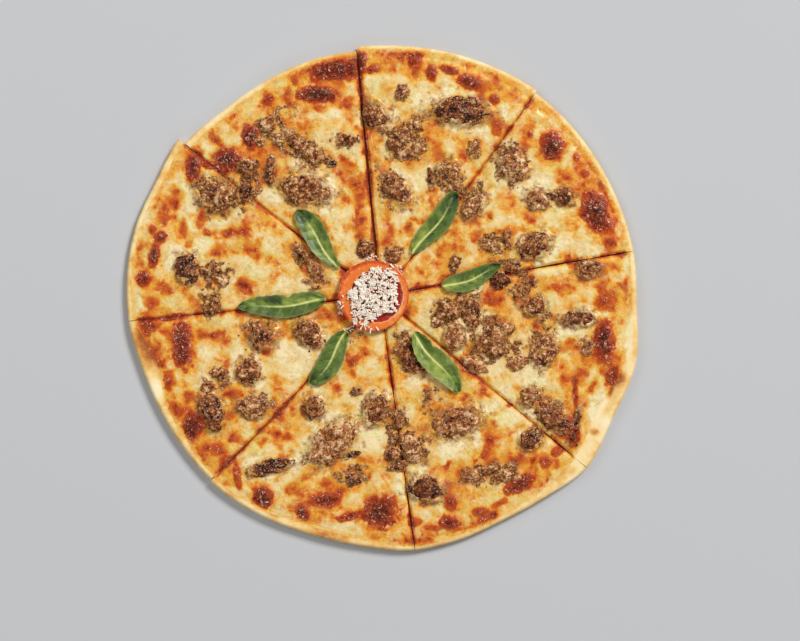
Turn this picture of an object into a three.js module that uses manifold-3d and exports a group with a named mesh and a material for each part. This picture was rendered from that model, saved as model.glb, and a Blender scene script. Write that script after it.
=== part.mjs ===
// A thin-crust meat pizza, about 30 cm across, cut into eight slices that still lie together.
// Every slice is a dough base with a raised pale lip and a slab of melted cheese inside the lip.
// Browned blisters and small meat crumbs are relief on the cheese. Larger pieces of meat, six mint
// leaves, a slice of tomato and a little heap of grated cheese lie on top.
// Millimetres, +Z up. The origin is the middle of the pizza's box, on the surface it lies on.
import * as THREE from "three";
import { mergeVertices } from "three/addons/utils/BufferGeometryUtils.js";
import Module from "manifold-3d";

const wasm = await Module();
wasm.setup();

// ---------- Driving dimensions ----------
const CLEAR = 0.3; // gap left between pieces that touch
const DOUGH = 3.4; // dough under the cheese
const LIP_HEIGHT = 6.2; // top of the pale lip
const CHEESE_LEVEL = 6.5; // mean top of the cheese
const CHEESE_BOTTOM = DOUGH + CLEAR;
const EDGE_SLOPE = 1.0; // the cheese falls by this much towards the lip
const EDGE_BAND = 6; // width of that slope
const CUT_DIP = 0.55; // the wheel presses the cheese down at a cut
const SWELL = 0.38; // height of the slow waves in the cheese
const CELL = 7.3; // size of a facet on the cheese
const RIM_FACETS = 10; // facets of a slice's outer edge
const PLAN_SHIFT = { x: 1.054, y: 0.239 }; // from the plan's middle to the origin
const CUT_MEET = { x: -2.4, y: 0.9 }; // where the eight cuts meet

// The cuts, by their direction at the rim in degrees. bow is how far a cut bends to its left halfway out.
const CUTS = [
  { turn: 10.5, bow: 0.3, gap: 0.9 },
  { turn: 53.5, bow: -2.0, gap: 0.9 },
  { turn: 96.3, bow: 0, gap: 1.5 },
  { turn: 142.3, bow: 1.3, gap: 0.8 },
  { turn: 185.3, bow: 0, gap: 1.0 },
  { turn: 226.5, bow: 2.4, gap: 1.1 },
  { turn: 277, bow: 0, gap: 0.9 },
  { turn: 320, bow: 0, gap: 0.8 },
];

// For each slice, its outer radius and the width of its bare lip, at five even steps from cut to cut.
const SLICES = [
  { rim: [150.9, 150.6, 150.7, 151.2, 151.5], lip: [3.5, 3.5, 3.5, 3.5, 4] },
  { rim: [153, 151.9, 150.9, 150.1, 150], lip: [4, 3.5, 3, 3, 3] },
  { rim: [147.6, 147.7, 146.9, 146.9, 149.7], lip: [3, 3, 4, 5, 5] },
  { rim: [154.5, 152.4, 153.8, 153.6, 152.7], lip: [5, 5, 4, 4, 4] },
  { rim: [152.7, 150, 149.1, 149.1, 149.7], lip: [5, 11, 6, 5, 4] },
  { rim: [150.6, 149.4, 147.6, 148.4, 151.5], lip: [4, 4.5, 6, 5, 4] },
  { rim: [151.5, 151, 150.4, 153, 157.8], lip: [4, 4, 4, 6, 10] },
  { rim: [157.8, 153.9, 154.8, 150.6, 150.9], lip: [11, 11, 8, 5, 3.5] },
];

// The lip's section: distance in from the outer edge, and height.
const LIP_SECTION = [
  [3, 0],
  [1.1, 0.3],
  [0.1, 1.6],
  [0, 3.2],
  [0.6, 5.0],
  [1.9, LIP_HEIGHT],
];

// Meat pieces big enough to pick off, each [x, y, half length, half width, turn in degrees].
const MEAT = [
  [-99.6, 61.5, 13.9, 10.8, -25],
  [-47.4, 64.5, 15.6, 11.2, -12],
  [-5.4, 107.7, 11.9, 8.3, -42],
  [44.4, 110.7, 20.4, 9.4, -4],
  [10.8, 94.5, 9.4, 6.9, 50],
  [7.8, 63.3, 12.1, 7.4, -55],
  [38.4, 74.7, 9.5, 8.1, -20],
  [52.8, 54.3, 11, 6.3, 55],
  [76.2, 78.3, 11, 8.7, -65],
  [90.6, 57.9, 8.8, 7.6, -40],
  [107.4, 60.3, 7, 6.3, 60],
  [121.2, 17.7, 8.8, 8.3, 90],
  [88.2, 30.9, 13.2, 9.6, 25],
  [89.4, -5.1, 9, 7.4, 30],
  [114.6, -12.9, 12.5, 6.7, 2],
  [94.2, -31.5, 11.2, 9.2, 70],
  [52.2, -8.1, 13.2, 6.9, 85],
  [41.4, -23.1, 9.2, 7.2, 75],
  [63.6, -23.7, 13.2, 8.5, 30],
  [16.8, -36.3, 13.6, 8.1, -60],
  [43.2, -74.1, 17.2, 11.2, 15],
  [24, -113.7, 13.6, 9.4, -15],
  [17.4, -89.1, 9.9, 7.4, -60],
  [-4.2, -66.9, 10.8, 9, 50],
  [-41.4, -65.1, 8.4, 7.6, -40],
  [-30, -86.1, 18, 11, 35],
  [-67.2, -99.9, 16.5, 5.6, 12],
  [-73.2, -22.5, 10.6, 9.2, -25],
  [-45, -20.7, 12.1, 8.3, -50],
  [-81, -43.5, 8.8, 8.3, -45],
  [-102.6, -66.3, 12.1, 7.8, -70],
  [-78.6, -65.7, 10.6, 7.2, -10],
  [-117, 17.1, 11.4, 8.3, 95],
  [87, -59.1, 8.6, 6.7, 30],
  [87.6, -84.3, 9.9, 6.3, 35],
  [101, -72.5, 13.8, 7.2, -38],
];

// Meat crumbs fused to the cheese, in the same form.
const CRUMBS = [
  [-80.4, 63.3, 7.8, 4.2, -20],
  [-80.4, 77.7, 6, 5.6, 60],
  [-67.2, 75.3, 7.2, 3.8, 95],
  [-67.2, 101.7, 5.6, 5, 40],
  [-51.6, 94.5, 8, 5, -35],
  [-38.4, 84.9, 6, 4.8, -20],
  [-21.6, 93.3, 7, 4.4, 10],
  [28.8, 72, 6.5, 2.6, 80],
  [64.8, 33, 5.4, 3.8, 30],
  [69, 10.5, 6.4, 5.2, 0],
  [79.2, -42.6, 6.2, 4.8, 20],
  [37.8, -5, 6, 4.6, -20],
  [24.6, -59.1, 7.6, 4.6, 60],
  [-16.8, -109.5, 7, 4.6, 20],
  [-102.6, 15.9, 7.6, 5, 30],
  [-102.6, -2.5, 9, 4.4, -75],
  [-98, -46, 6, 3.8, 10],
  [61.8, -105.9, 9.5, 4.4, 5],
  [123.6, -28.2, 4.6, 3.6, 80],
  [-9.6, 29.7, 5.2, 4.4, 0],
];

// Browned blisters: [x, y, half length, half width, turn in degrees, height].
const BLISTERS = [
  [-80.4, 95.7, 8, 5.4, 90, 1.5],
  [-93.6, 85.5, 8.6, 7.6, 20, 1.6],
  [-115.2, 77.7, 7.8, 5, 95, 1.4],
  [-32.4, 135.3, 16.4, 5.6, 8, 1.5],
  [-38.4, 121.5, 11.4, 6.6, 0, 1.3],
  [36.6, 137.7, 9.6, 5.4, -20, 1.3],
  [51.6, 130.5, 8.6, 6, -8, 1.5],
  [66, 119.1, 5, 3.6, -30, 1.0],
  [100.8, 90.3, 9, 9, 0, 1.7],
  [128.4, 50.7, 14, 8, -68, 1.7],
  [133.8, 0.3, 6.6, 4.6, 80, 1.2],
  [131.4, -25.5, 13.2, 7.4, 88, 1.7],
  [81.6, -112.5, 11, 5.4, 28, 1.2],
  [56.4, -128.1, 9, 4, 15, 0.9],
  [40.2, -122.7, 5, 4.6, 0, 1.0],
  [39.6, -136.5, 8.4, 4.8, 0, 1.1],
  [-1.2, -129.3, 11.6, 10.4, 30, 1.6],
  [-37.2, -121.5, 14.4, 5.6, 4, 1.3],
  [-72, -118.5, 7.8, 6.6, 90, 1.6],
  [-114.6, -76.5, 8.2, 7.2, -50, 1.6],
  [-118.8, -28.5, 15, 6, -82, 1.4],
  [-128.4, -48.3, 5.6, 4.2, -60, 0.9],
  [-140, 22, 8, 5, 65, 1.2],
  [-143, 12, 5.4, 4.8, 0, 1.1],
  [98.4, -94.5, 8.6, 5.4, 20, 1.0],
];

// Mint leaves, each from its stalk end to its tip, with its half width. A belly above 1 puts the
// widest part nearer the tip.
const LEAVES = [
  { from: [-26.4, 17.4], to: [-51.8, 51.4], half: 7, belly: 1.2 },
  { from: [17.5, 25.5], to: [43.5, 61.5], half: 6.6, belly: 1.05 },
  { from: [35, 5.6], to: [70, 18.4], half: 6, belly: 0.85 },
  { from: [17.8, -20.6], to: [44.6, -56], half: 7.6, belly: 1.1 },
  { from: [-21.6, -20.6], to: [-42.2, -52], half: 7, belly: 1 },
  { from: [-34.6, -1.6], to: [-86, -6.6], half: 7, belly: 0.95 },
];
const LEAF_THICKNESS = 0.6;
const LEAF_CUP = 1.5; // how far a leaf's edges rise above its midrib

const TOMATO = { x: -6.3, y: 1.1, radius: 21, flesh: 15.6, thick: 3.8, recess: 0.6 };
const HEAP = { x: -8.2, y: 0.7, radius: 15.4, height: 2.0 };
const SHRED = { count: 30, long: 4.2, wide: 1.1, thick: 0.9, seed: 11 };

// ---------- Small helpers ----------
const radians = (degrees) => (degrees * Math.PI) / 180;
const mix = (a, b, t) => a + (b - a) * t;
const clamp01 = (t) => Math.min(1, Math.max(0, t));

/** A seeded random number maker. */
function seeded(seed) {
  let state = seed;
  return () => {
    state = (state + 0x6d2b79f5) | 0;
    let t = Math.imul(state ^ (state >>> 15), 1 | state);
    t = (t + Math.imul(t ^ (t >>> 7), 61 | t)) ^ t;
    return ((t ^ (t >>> 14)) >>> 0) / 4294967296;
  };
}

/** The value at t, 0 to 1, of a smooth curve through evenly spaced values. */
function through(values, t) {
  const spot = clamp01(t) * (values.length - 1);
  const i = Math.min(values.length - 2, Math.floor(spot));
  const f = spot - i;
  const before = values[Math.max(0, i - 1)];
  const after = values[Math.min(values.length - 1, i + 2)];
  const [a, b] = [values[i], values[i + 1]];
  const bend = 2 * before - 5 * a + 4 * b - after;
  const twist = 3 * (a - b) + after - before;
  return a + 0.5 * f * (b - before + f * (bend + f * twist));
}

/** A closed solid from corner points and triangles. */
function solidFrom(points, triangles) {
  return new wasm.Manifold(
    new wasm.Mesh({
      numProp: 3,
      vertProperties: new Float32Array(points.flat()),
      triVerts: new Uint32Array(triangles.flat()),
    }),
  );
}

/** A three.js geometry as a closed solid. */
function solidOf(geometry) {
  const bare = geometry.clone();
  bare.deleteAttribute("normal");
  bare.deleteAttribute("uv");
  const merged = mergeVertices(bare, 1e-4);
  return new wasm.Manifold(
    new wasm.Mesh({
      numProp: 3,
      vertProperties: merged.attributes.position.array,
      triVerts: new Uint32Array(merged.index.array),
    }),
  );
}

/** A solid as a three.js geometry. */
function geometryOf(solid) {
  const { numProp, numVert, vertProperties, triVerts } = solid.getMesh();
  const position = new Float32Array(numVert * 3);
  for (let i = 0; i < numVert; i++) {
    position.set(vertProperties.subarray(i * numProp, i * numProp + 3), i * 3);
  }
  const geometry = new THREE.BufferGeometry();
  geometry.setAttribute("position", new THREE.BufferAttribute(position, 3));
  geometry.setIndex(new THREE.BufferAttribute(new Uint32Array(triVerts), 1));
  geometry.computeVertexNormals();
  return geometry;
}

/** The largest of a solid's separate bodies. */
function largest(solid) {
  return solid.decompose().sort((a, b) => b.volume() - a.volume())[0];
}

// ---------- Plan of the slices ----------
/** A slice's rim at u, 0 at its first cut and 1 at its second, with the width of its bare lip. */
function rimAt(slice, u) {
  const first = CUTS[slice].turn;
  const second = slice === CUTS.length - 1 ? CUTS[0].turn + 360 : CUTS[slice + 1].turn;
  const angle = radians(mix(first, second, u));
  const radius = through(SLICES[slice].rim, u);
  return {
    x: radius * Math.cos(angle),
    y: radius * Math.sin(angle),
    lip: through(SLICES[slice].lip, u),
  };
}

/** The point at a share of the way from where the cuts meet to the rim. inset is in from the rim, in mm. */
function planPoint(slice, u, share, inset = 0) {
  const rim = rimAt(slice, u);
  const [dx, dy] = [rim.x - CUT_MEET.x, rim.y - CUT_MEET.y];
  const length = Math.hypot(dx, dy);
  const out = share * (1 - inset / length);
  const bow = mix(CUTS[slice].bow, CUTS[(slice + 1) % CUTS.length].bow, u);
  const side = (bow * Math.sin(Math.PI * out)) / length;
  return [CUT_MEET.x + dx * out - dy * side, CUT_MEET.y + dy * out + dx * side];
}

/** One arc across a slice, clear of both cuts: points with the height that heightAt gives. */
function arc(slice, facets, share, insetAt, heightAt, grow = 0) {
  const ends = [0, 1].map((u) => planPoint(slice, u, share, insetAt(u)));
  const width = Math.hypot(ends[1][0] - ends[0][0], ends[1][1] - ends[0][1]);
  const first = (CUTS[slice].gap / 2 - grow) / width;
  const last = 1 - (CUTS[(slice + 1) % CUTS.length].gap / 2 - grow) / width;
  const points = [];
  for (let i = 0; i <= facets; i++) {
    const u = facets ? mix(first, last, i / facets) : 0.5;
    const [x, y] = planPoint(slice, u, share, insetAt(u));
    points.push([x, y, heightAt(x, y, u)]);
  }
  return points;
}

/** Triangles between two rows of point numbers, whatever their counts. */
function zip(a, b) {
  const [na, nb] = [a.length - 1, b.length - 1];
  const triangles = [];
  for (let i = 0, j = 0; i < na || j < nb; ) {
    if (j === nb || (i < na && (i + 1) * nb <= (j + 1) * na)) {
      triangles.push([a[i], a[i + 1], b[j]]);
      i++;
    } else {
      triangles.push([a[i], b[j + 1], b[j]]);
      j++;
    }
  }
  return triangles;
}

/** A closed wedge from arcs that run along its underside, up its outer edge and back to its tip. */
function wedgeFrom(arcs) {
  const points = [];
  const rows = arcs.map((row) => row.map((p) => points.push(p) - 1));
  const triangles = rows.slice(1).flatMap((row, i) => zip(rows[i], row));
  for (const end of [0, 1]) {
    const chain = rows.map((row) => row[end ? row.length - 1 : 0]);
    const section = chain.map((n) => {
      const [x, y, z] = points[n];
      return new THREE.Vector2(Math.hypot(x - CUT_MEET.x, y - CUT_MEET.y), z);
    });
    for (const [i, j, k] of THREE.ShapeUtils.triangulateShape(section, [])) {
      const [ab, ac] = [section[j].clone().sub(section[i]), section[k].clone().sub(section[i])];
      const turned = ab.cross(ac) > 0 === (end === 0);
      triangles.push(turned ? [chain[i], chain[j], chain[k]] : [chain[i], chain[k], chain[j]]);
    }
  }
  return solidFrom(points, triangles);
}

/** Shares of the way out, and facets across, of the coarse rows on a slice's flat faces. */
const FLAT_ROWS = [
  [0.25, 3],
  [0.5, 6],
  [0.75, 9],
];
/** How far out a slice's tip is, as a share of the way to its rim. */
const TIP = 0.016;

// ---------- Relief of the cheese ----------
/** How far a point is from a topping's middle, in half widths. */
function within([cx, cy, long, wide, turn], x, y) {
  const [c, s] = [Math.cos(radians(turn)), Math.sin(radians(turn))];
  const [dx, dy] = [x - cx, y - cy];
  return Math.hypot((dx * c + dy * s) / long, (dy * c - dx * s) / wide);
}

/** Slow waves, from -1 to 1. */
function swell(x, y) {
  const a = Math.sin(x / 8.5 + 1.3) * Math.cos(y / 10.1 - 0.4);
  const b = Math.sin((x + y) / 13.7 + 0.5) * Math.cos((x - 1.6 * y) / 12.3);
  return 0.5 * a + 0.5 * b;
}

/** Height of the cheese's top. near is how close the point is to its slice's lip and cuts. */
function cheeseTop(x, y, near = { lip: Infinity, cut: Infinity }) {
  let z = CHEESE_LEVEL + SWELL * swell(x, y);
  for (const blister of BLISTERS) {
    const away = within(blister, x, y);
    if (away < 1.2) z += blister[5] * Math.cos((Math.PI / 2) * (away / 1.2));
  }
  z -= EDGE_SLOPE * (1 - clamp01(near.lip / EDGE_BAND)) ** 2;
  z -= CUT_DIP * (1 - clamp01(near.cut / CELL));
  return z;
}

// ---------- Slices ----------
/** Dough of one slice: flat below, with a rounded lip round its outer edge. */
function doughSlice(slice) {
  const lip = (u) => rimAt(slice, u).lip;
  const flat = (z) => FLAT_ROWS.map(([share, n]) => arc(slice, n, share, () => 0, () => z));
  const tip = (z) => arc(slice, 0, TIP, () => 0, () => z);
  const rounded = LIP_SECTION.map(([inset, z]) => arc(slice, RIM_FACETS, 1, () => inset, () => z));
  const crest = arc(slice, RIM_FACETS, 1, lip, () => LIP_HEIGHT - 0.5);
  const foot = arc(slice, RIM_FACETS, 1, (u) => lip(u) + CLEAR, () => DOUGH);
  return wedgeFrom([tip(0), ...flat(0), ...rounded, crest, foot, ...flat(DOUGH).reverse(), tip(DOUGH)]);
}

/** Slab of cheese of one slice. lift raises its top, and grow widens it into the cuts. */
function cheeseSlice(slice, { lift = 0, grow = 0, bottom = CHEESE_BOTTOM } = {}) {
  const inset = (u) => rimAt(slice, u).lip + 2 * CLEAR;
  const middle = planPoint(slice, 0.5, 1, inset(0.5));
  const length = Math.hypot(middle[0] - CUT_MEET.x, middle[1] - CUT_MEET.y);
  const rows = Math.round(length / CELL);
  const top = [];
  for (let i = rows; i > 0; i--) {
    const share = i / rows;
    const ends = [0, 1].map((u) => planPoint(slice, u, share, inset(u)));
    const width = Math.hypot(ends[1][0] - ends[0][0], ends[1][1] - ends[0][1]);
    const near = (u) => ({ lip: (1 - share) * length, cut: Math.min(u, 1 - u) * width });
    const height = (x, y, u) => cheeseTop(x, y, near(u)) + lift;
    top.push(arc(slice, Math.max(1, Math.round(width / CELL)), share, inset, height, grow));
  }
  const floor = () => bottom;
  const under = FLAT_ROWS.map(([share, n]) => arc(slice, n, share, inset, floor, grow));
  const edge = arc(slice, RIM_FACETS, 1, inset, floor, grow);
  const tipTop = arc(slice, 0, TIP, () => 0, () => CHEESE_LEVEL - CUT_DIP + lift);
  const tipUnder = arc(slice, 0, TIP, () => 0, floor);
  return wedgeFrom([tipUnder, ...under, edge, ...top, tipTop]);
}

/** The room above one slice, which what lies on it alone stays inside. */
function roomOver(slice) {
  const walls = (z) => FLAT_ROWS.map(([share, n]) => arc(slice, n, share, () => 0, () => z));
  const tip = (z) => arc(slice, 0, TIP, () => 0, () => z);
  const edge = (z) => arc(slice, RIM_FACETS, 1, () => 0, () => z);
  const [low, high] = [CHEESE_BOTTOM, 4 * CHEESE_LEVEL];
  return wedgeFrom([tip(low), ...walls(low), edge(low), edge(high), ...walls(high).reverse(), tip(high)]);
}

/** The slice whose plan holds a point. */
function sliceAt(x, y) {
  const turn = (THREE.MathUtils.radToDeg(Math.atan2(y - CUT_MEET.y, x - CUT_MEET.x)) + 360) % 360;
  const passed = CUTS.filter((cut) => cut.turn <= turn).length;
  return (passed + CUTS.length - 1) % CUTS.length;
}

// ---------- Toppings ----------
/** How far a piece of meat stands above the cheese. */
const meatHeight = (wide) => 1.0 + 0.38 * wide;

/** A craggy lump of meat, sunk by about a third. more makes it that much larger all round. */
function lump([x, y, long, wide, turn], seed, more = 0) {
  const tall = meatHeight(wide) / 0.66;
  const shape = new THREE.IcosahedronGeometry(1, 1);
  shape.deleteAttribute("uv");
  const merged = mergeVertices(shape.deleteAttribute("normal"), 1e-4);
  const { position } = merged.attributes;
  const random = seeded(seed);
  for (let i = 0; i < position.count; i++) {
    const rough = 1 + 0.3 * (random() - 0.5);
    position.setXYZ(
      i,
      position.getX(i) * rough * long + more * position.getX(i),
      position.getY(i) * rough * wide + more * position.getY(i),
      position.getZ(i) * rough * tall + more * position.getZ(i),
    );
  }
  merged.rotateZ(radians(turn));
  merged.translate(x, y, cheeseTop(x, y) + meatHeight(wide) - tall);
  return solidOf(merged);
}

/** Height that something lying at a point needs, above the cheese and the meat. */
function restHeight(x, y) {
  let z = cheeseTop(x, y);
  for (const piece of [...MEAT, ...CRUMBS]) {
    const away = within(piece, x, y) / 1.12;
    if (away < 1) {
      const top = cheeseTop(piece[0], piece[1]) + 1.12 * meatHeight(piece[3]);
      z = Math.max(z, mix(top, z, away ** 4));
    }
  }
  return z + CLEAR;
}

/** A thin solid under rows of points, both faces split into triangles alike. */
function thinSolid(rows, thickness) {
  const across = rows[0].length;
  const top = rows.flat();
  const points = [...top, ...top.map(([x, y, z]) => [x, y, z - thickness])];
  const under = top.length;
  const triangles = [];
  const quad = (a, b, c, d) => triangles.push([a, b, c], [a, c, d]);
  for (let i = 0; i + 1 < rows.length; i++) {
    for (let j = 0; j + 1 < across; j++) {
      const [a, b] = [i * across + j, (i + 1) * across + j];
      quad(a, b, b + 1, a + 1);
      quad(under + a, under + a + 1, under + b + 1, under + b);
    }
  }
  const edge = [];
  for (let j = 0; j < across; j++) edge.push(j);
  for (let i = 1; i < rows.length; i++) edge.push(i * across + across - 1);
  for (let j = across - 2; j >= 0; j--) edge.push((rows.length - 1) * across + j);
  for (let i = rows.length - 2; i > 0; i--) edge.push(i * across);
  edge.forEach((a, i) => {
    const b = edge[(i + 1) % edge.length];
    quad(a, b, under + b, under + a);
  });
  return solidFrom(points, triangles);
}

/** A mint leaf, pointed at both ends, folded up a little along its midrib. */
function leaf({ from, to, half, belly }, number) {
  const [stations, ribs] = [8, 4];
  const [dx, dy] = [to[0] - from[0], to[1] - from[1]];
  const length = Math.hypot(dx, dy);
  const spot = (t, v) => {
    const wide = half * Math.max(0.08, Math.sin(Math.PI * t ** belly) ** 0.75);
    const sway = 1.2 * Math.sin(2 * Math.PI * t + number);
    const side = (wide * v + sway) / length;
    return [from[0] + dx * t - dy * side, from[1] + dy * t + dx * side];
  };
  const shape = (t, v) => LEAF_CUP * v * v + 0.35 * Math.sin(9 * t + 2.5 * v + number);
  const rises = [];
  for (let i = 0; i <= stations; i++) {
    let need = 0;
    for (let j = 0; j <= ribs; j++) {
      const v = (2 * j) / ribs - 1;
      const [x, y] = spot(i / stations, v);
      need = Math.max(need, restHeight(x, y) + LEAF_THICKNESS - shape(i / stations, v));
    }
    rises.push(need);
  }
  const wider = rises.map((_, i) => Math.max(...rises.slice(Math.max(0, i - 1), i + 2)));
  const eased = wider.map((z, i) => {
    const near = wider.slice(Math.max(0, i - 1), i + 2);
    return Math.max(rises[i], near.reduce((sum, n) => sum + n, 0) / near.length);
  });
  const rows = eased.map((rise, i) => {
    const row = [];
    for (let j = 0; j <= ribs; j++) {
      const v = (2 * j) / ribs - 1;
      const [x, y] = spot(i / stations, v);
      row.push([x, y, rise + shape(i / stations, v)]);
    }
    return row;
  });
  return thinSolid(rows, LEAF_THICKNESS);
}

/** Height on which the tomato slice lies. */
function tomatoRest() {
  let z = 0;
  for (let i = 0; i < 12; i++) {
    for (const out of [0, 0.5, 1]) {
      const angle = radians(30 * i);
      const [x, y] = [
        TOMATO.x + out * TOMATO.radius * Math.cos(angle),
        TOMATO.y + out * TOMATO.radius * Math.sin(angle),
      ];
      z = Math.max(z, cheeseTop(x, y));
    }
  }
  return z + CLEAR;
}

/** A round slice of tomato, its seed bed a little lower than its flesh. */
function tomatoSlice() {
  const { radius, flesh, thick, recess } = TOMATO;
  const profile = [
    [0, 0],
    [radius - 0.7, 0],
    [radius, 1.1],
    [radius - 0.2, thick - 0.5],
    [radius - 0.9, thick],
    [flesh, thick],
    [flesh - 1, thick - recess],
    [0, thick - recess],
  ].map(([r, z]) => new THREE.Vector2(r, z));
  const shape = new THREE.LatheGeometry(profile, 26).rotateX(Math.PI / 2);
  return solidOf(shape.translate(TOMATO.x, TOMATO.y, tomatoRest()));
}

/** Grated cheese: a low mound with the shreds that show fused on. */
function gratedHeap() {
  const rest = tomatoRest() + TOMATO.thick + CLEAR;
  const random = seeded(SHRED.seed);
  const mound = new THREE.IcosahedronGeometry(1, 2).scale(HEAP.radius, HEAP.radius, HEAP.height);
  let heap = solidOf(mound.translate(HEAP.x, HEAP.y, rest + 0.25));
  for (let i = 0; i < SHRED.count; i++) {
    const angle = i * 2.399963; // the golden angle spreads the shreds evenly
    const out = HEAP.radius * 1.04 * Math.sqrt((i + 0.5) / SHRED.count);
    const slope = Math.sqrt(Math.max(0, 1 - (out / HEAP.radius) ** 2));
    const size = mix(0.7, 1.15, random());
    const shred = new THREE.BoxGeometry(SHRED.long * size, SHRED.wide, SHRED.thick)
      .rotateY(mix(-0.3, 0.3, random()))
      .rotateZ(Math.PI * random())
      .translate(
        HEAP.x + out * Math.cos(angle),
        HEAP.y + out * Math.sin(angle),
        rest + 0.25 + HEAP.height * slope + SHRED.thick * 0.25,
      );
    heap = heap.add(solidOf(shred));
  }
  const above = new THREE.BoxGeometry(100, 100, 40).translate(HEAP.x, HEAP.y, rest + 20);
  return largest(heap.intersect(solidOf(above)));
}

// ---------- Finishes ----------
const finish = (color, roughness) => new THREE.MeshStandardMaterial({ color, roughness, metalness: 0 });
const FINISHES = {
  dough: finish(0xecd09a, 0.85),
  cheese: finish(0xe8b868, 0.42),
  meat: finish(0x6e4a30, 0.5),
  mint: finish(0x4b7a2c, 0.5),
  tomato: finish(0xe4632c, 0.3),
  grated: finish(0xf3e6cc, 0.6),
};

// ---------- The pizza ----------
const pizza = new THREE.Group();
pizza.position.set(PLAN_SHIFT.x, PLAN_SHIFT.y, 0);

/** Adds one named piece. */
function place(name, solid, material) {
  const mesh = new THREE.Mesh(geometryOf(solid), material);
  mesh.name = name;
  pizza.add(mesh);
}

const label = (stem, i) => `${stem}_${String(i + 1).padStart(2, "0")}`;
const rooms = CUTS.map((_, slice) => roomOver(slice));
const presses = CUTS.map((_, slice) => cheeseSlice(slice, { lift: CLEAR, grow: 1.2, bottom: 0 }));

const placed = [];
MEAT.forEach((piece, i) => {
  const slice = sliceAt(piece[0], piece[1]);
  let meat = lump(piece, i + 1).intersect(rooms[slice]);
  for (const press of presses) meat = meat.subtract(press);
  for (const other of placed) meat = meat.subtract(other);
  placed.push(lump(piece, i + 1, 2 * CLEAR));
  place(label("meat", i), largest(meat), FINISHES.meat);
});

for (let slice = 0; slice < CUTS.length; slice++) {
  place(label("dough", slice), doughSlice(slice), FINISHES.dough);
  let cheese = cheeseSlice(slice);
  CRUMBS.forEach((piece, i) => {
    if (sliceAt(piece[0], piece[1]) !== slice) return;
    let crumb = lump(piece, 101 + i).intersect(rooms[slice]);
    for (const other of placed) crumb = crumb.subtract(other);
    cheese = cheese.add(crumb);
  });
  place(label("cheese", slice), largest(cheese), FINISHES.cheese);
}

LEAVES.forEach((spot, i) => place(label("mint", i), leaf(spot, i), FINISHES.mint));
place("tomato", tomatoSlice(), FINISHES.tomato);
place("grated_cheese", gratedHeap(), FINISHES.grated);

export default pizza;
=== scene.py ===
"""A thin-crust meat pizza, cut into eight slices that lie together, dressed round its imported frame.

The plan of the slices is the frame's own. Every slice gets a fine sheet of dough and a fine slab of
melted cheese, browned where the oven browned it. Meat, mint, tomato and grated cheese stand for the
frame's plain solids of the same name. Plan work is in millimetres, with points as rows of x and y,
and meshes are in metres.
"""

from __future__ import annotations

import itertools
import logging
import math
from collections.abc import Callable, Iterable, Sequence
from dataclasses import dataclass, field
from enum import Enum

import bpy
import numpy as np
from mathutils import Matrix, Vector
from mathutils.bvhtree import BVHTree

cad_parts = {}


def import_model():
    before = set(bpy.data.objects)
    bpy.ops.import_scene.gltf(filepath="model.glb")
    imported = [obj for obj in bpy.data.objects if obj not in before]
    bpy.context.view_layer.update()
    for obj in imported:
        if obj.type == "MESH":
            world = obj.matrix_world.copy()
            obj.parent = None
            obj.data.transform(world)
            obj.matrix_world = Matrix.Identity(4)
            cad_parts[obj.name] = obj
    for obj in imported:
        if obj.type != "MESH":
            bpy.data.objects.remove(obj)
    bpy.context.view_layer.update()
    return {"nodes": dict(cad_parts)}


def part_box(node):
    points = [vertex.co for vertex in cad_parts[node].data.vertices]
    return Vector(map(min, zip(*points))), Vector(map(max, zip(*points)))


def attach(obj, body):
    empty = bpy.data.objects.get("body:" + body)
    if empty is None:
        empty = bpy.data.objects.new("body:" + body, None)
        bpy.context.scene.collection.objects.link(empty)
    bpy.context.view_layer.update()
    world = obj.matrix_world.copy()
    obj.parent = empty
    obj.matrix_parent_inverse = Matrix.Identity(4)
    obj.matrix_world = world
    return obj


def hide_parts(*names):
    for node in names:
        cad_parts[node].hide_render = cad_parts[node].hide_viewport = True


LOG = logging.getLogger("pizza")

MM = 0.001  # metres in a millimetre
BODY = "root"

# The photograph's frame, and how it lies on the pizza.
PHOTO_WIDE = 800
PHOTO_HIGH = 641
PHOTO_SCALE = 0.593  # millimetres on the pizza to a pixel
PHOTO_MIDDLE = (384.0, 297.5)  # the pixel at the plan's middle
PLAN_SHIFT = np.array([1.054, 0.239])  # from the plan's middle to the origin

Array = np.ndarray
Piece = bpy.types.Object
Material = bpy.types.Material
Socket = bpy.types.NodeSocket
Colour = tuple[float, float, float, float]
Stop = tuple[float, Colour]  # where on a ramp, and its colour there


# -------------------- curves and noise


def mix(a: Array | float, b: Array | float, t: Array | float) -> Array | float:
    """The value at share t of the way from a to b."""
    return a + (b - a) * t


def ease(low: float, high: float, t: Array) -> Array:
    """A soft step from 0 at low to 1 at high."""
    share = np.clip((t - low) / (high - low), 0.0, 1.0)
    return share * share * (3.0 - 2.0 * share)


def through(values: Sequence[float], t: Array) -> Array:
    """A smooth curve through evenly spaced values.

    Args:
        values: The values that the curve passes through.
        t: Places along the curve, from 0 to 1.

    Returns:
        The curve's value at each place.
    """
    known = np.asarray(values, float)
    spot = np.clip(t, 0.0, 1.0) * (len(known) - 1)
    low = np.minimum(spot.astype(int), len(known) - 2)
    f = spot - low
    a, b = known[low], known[low + 1]
    before = known[np.maximum(low - 1, 0)]
    after = known[np.minimum(low + 2, len(known) - 1)]
    bend = 2 * before - 5 * a + 4 * b - after
    twist = 3 * (a - b) + after - before
    return a + 0.5 * f * (b - before + f * (bend + f * twist))


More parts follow.
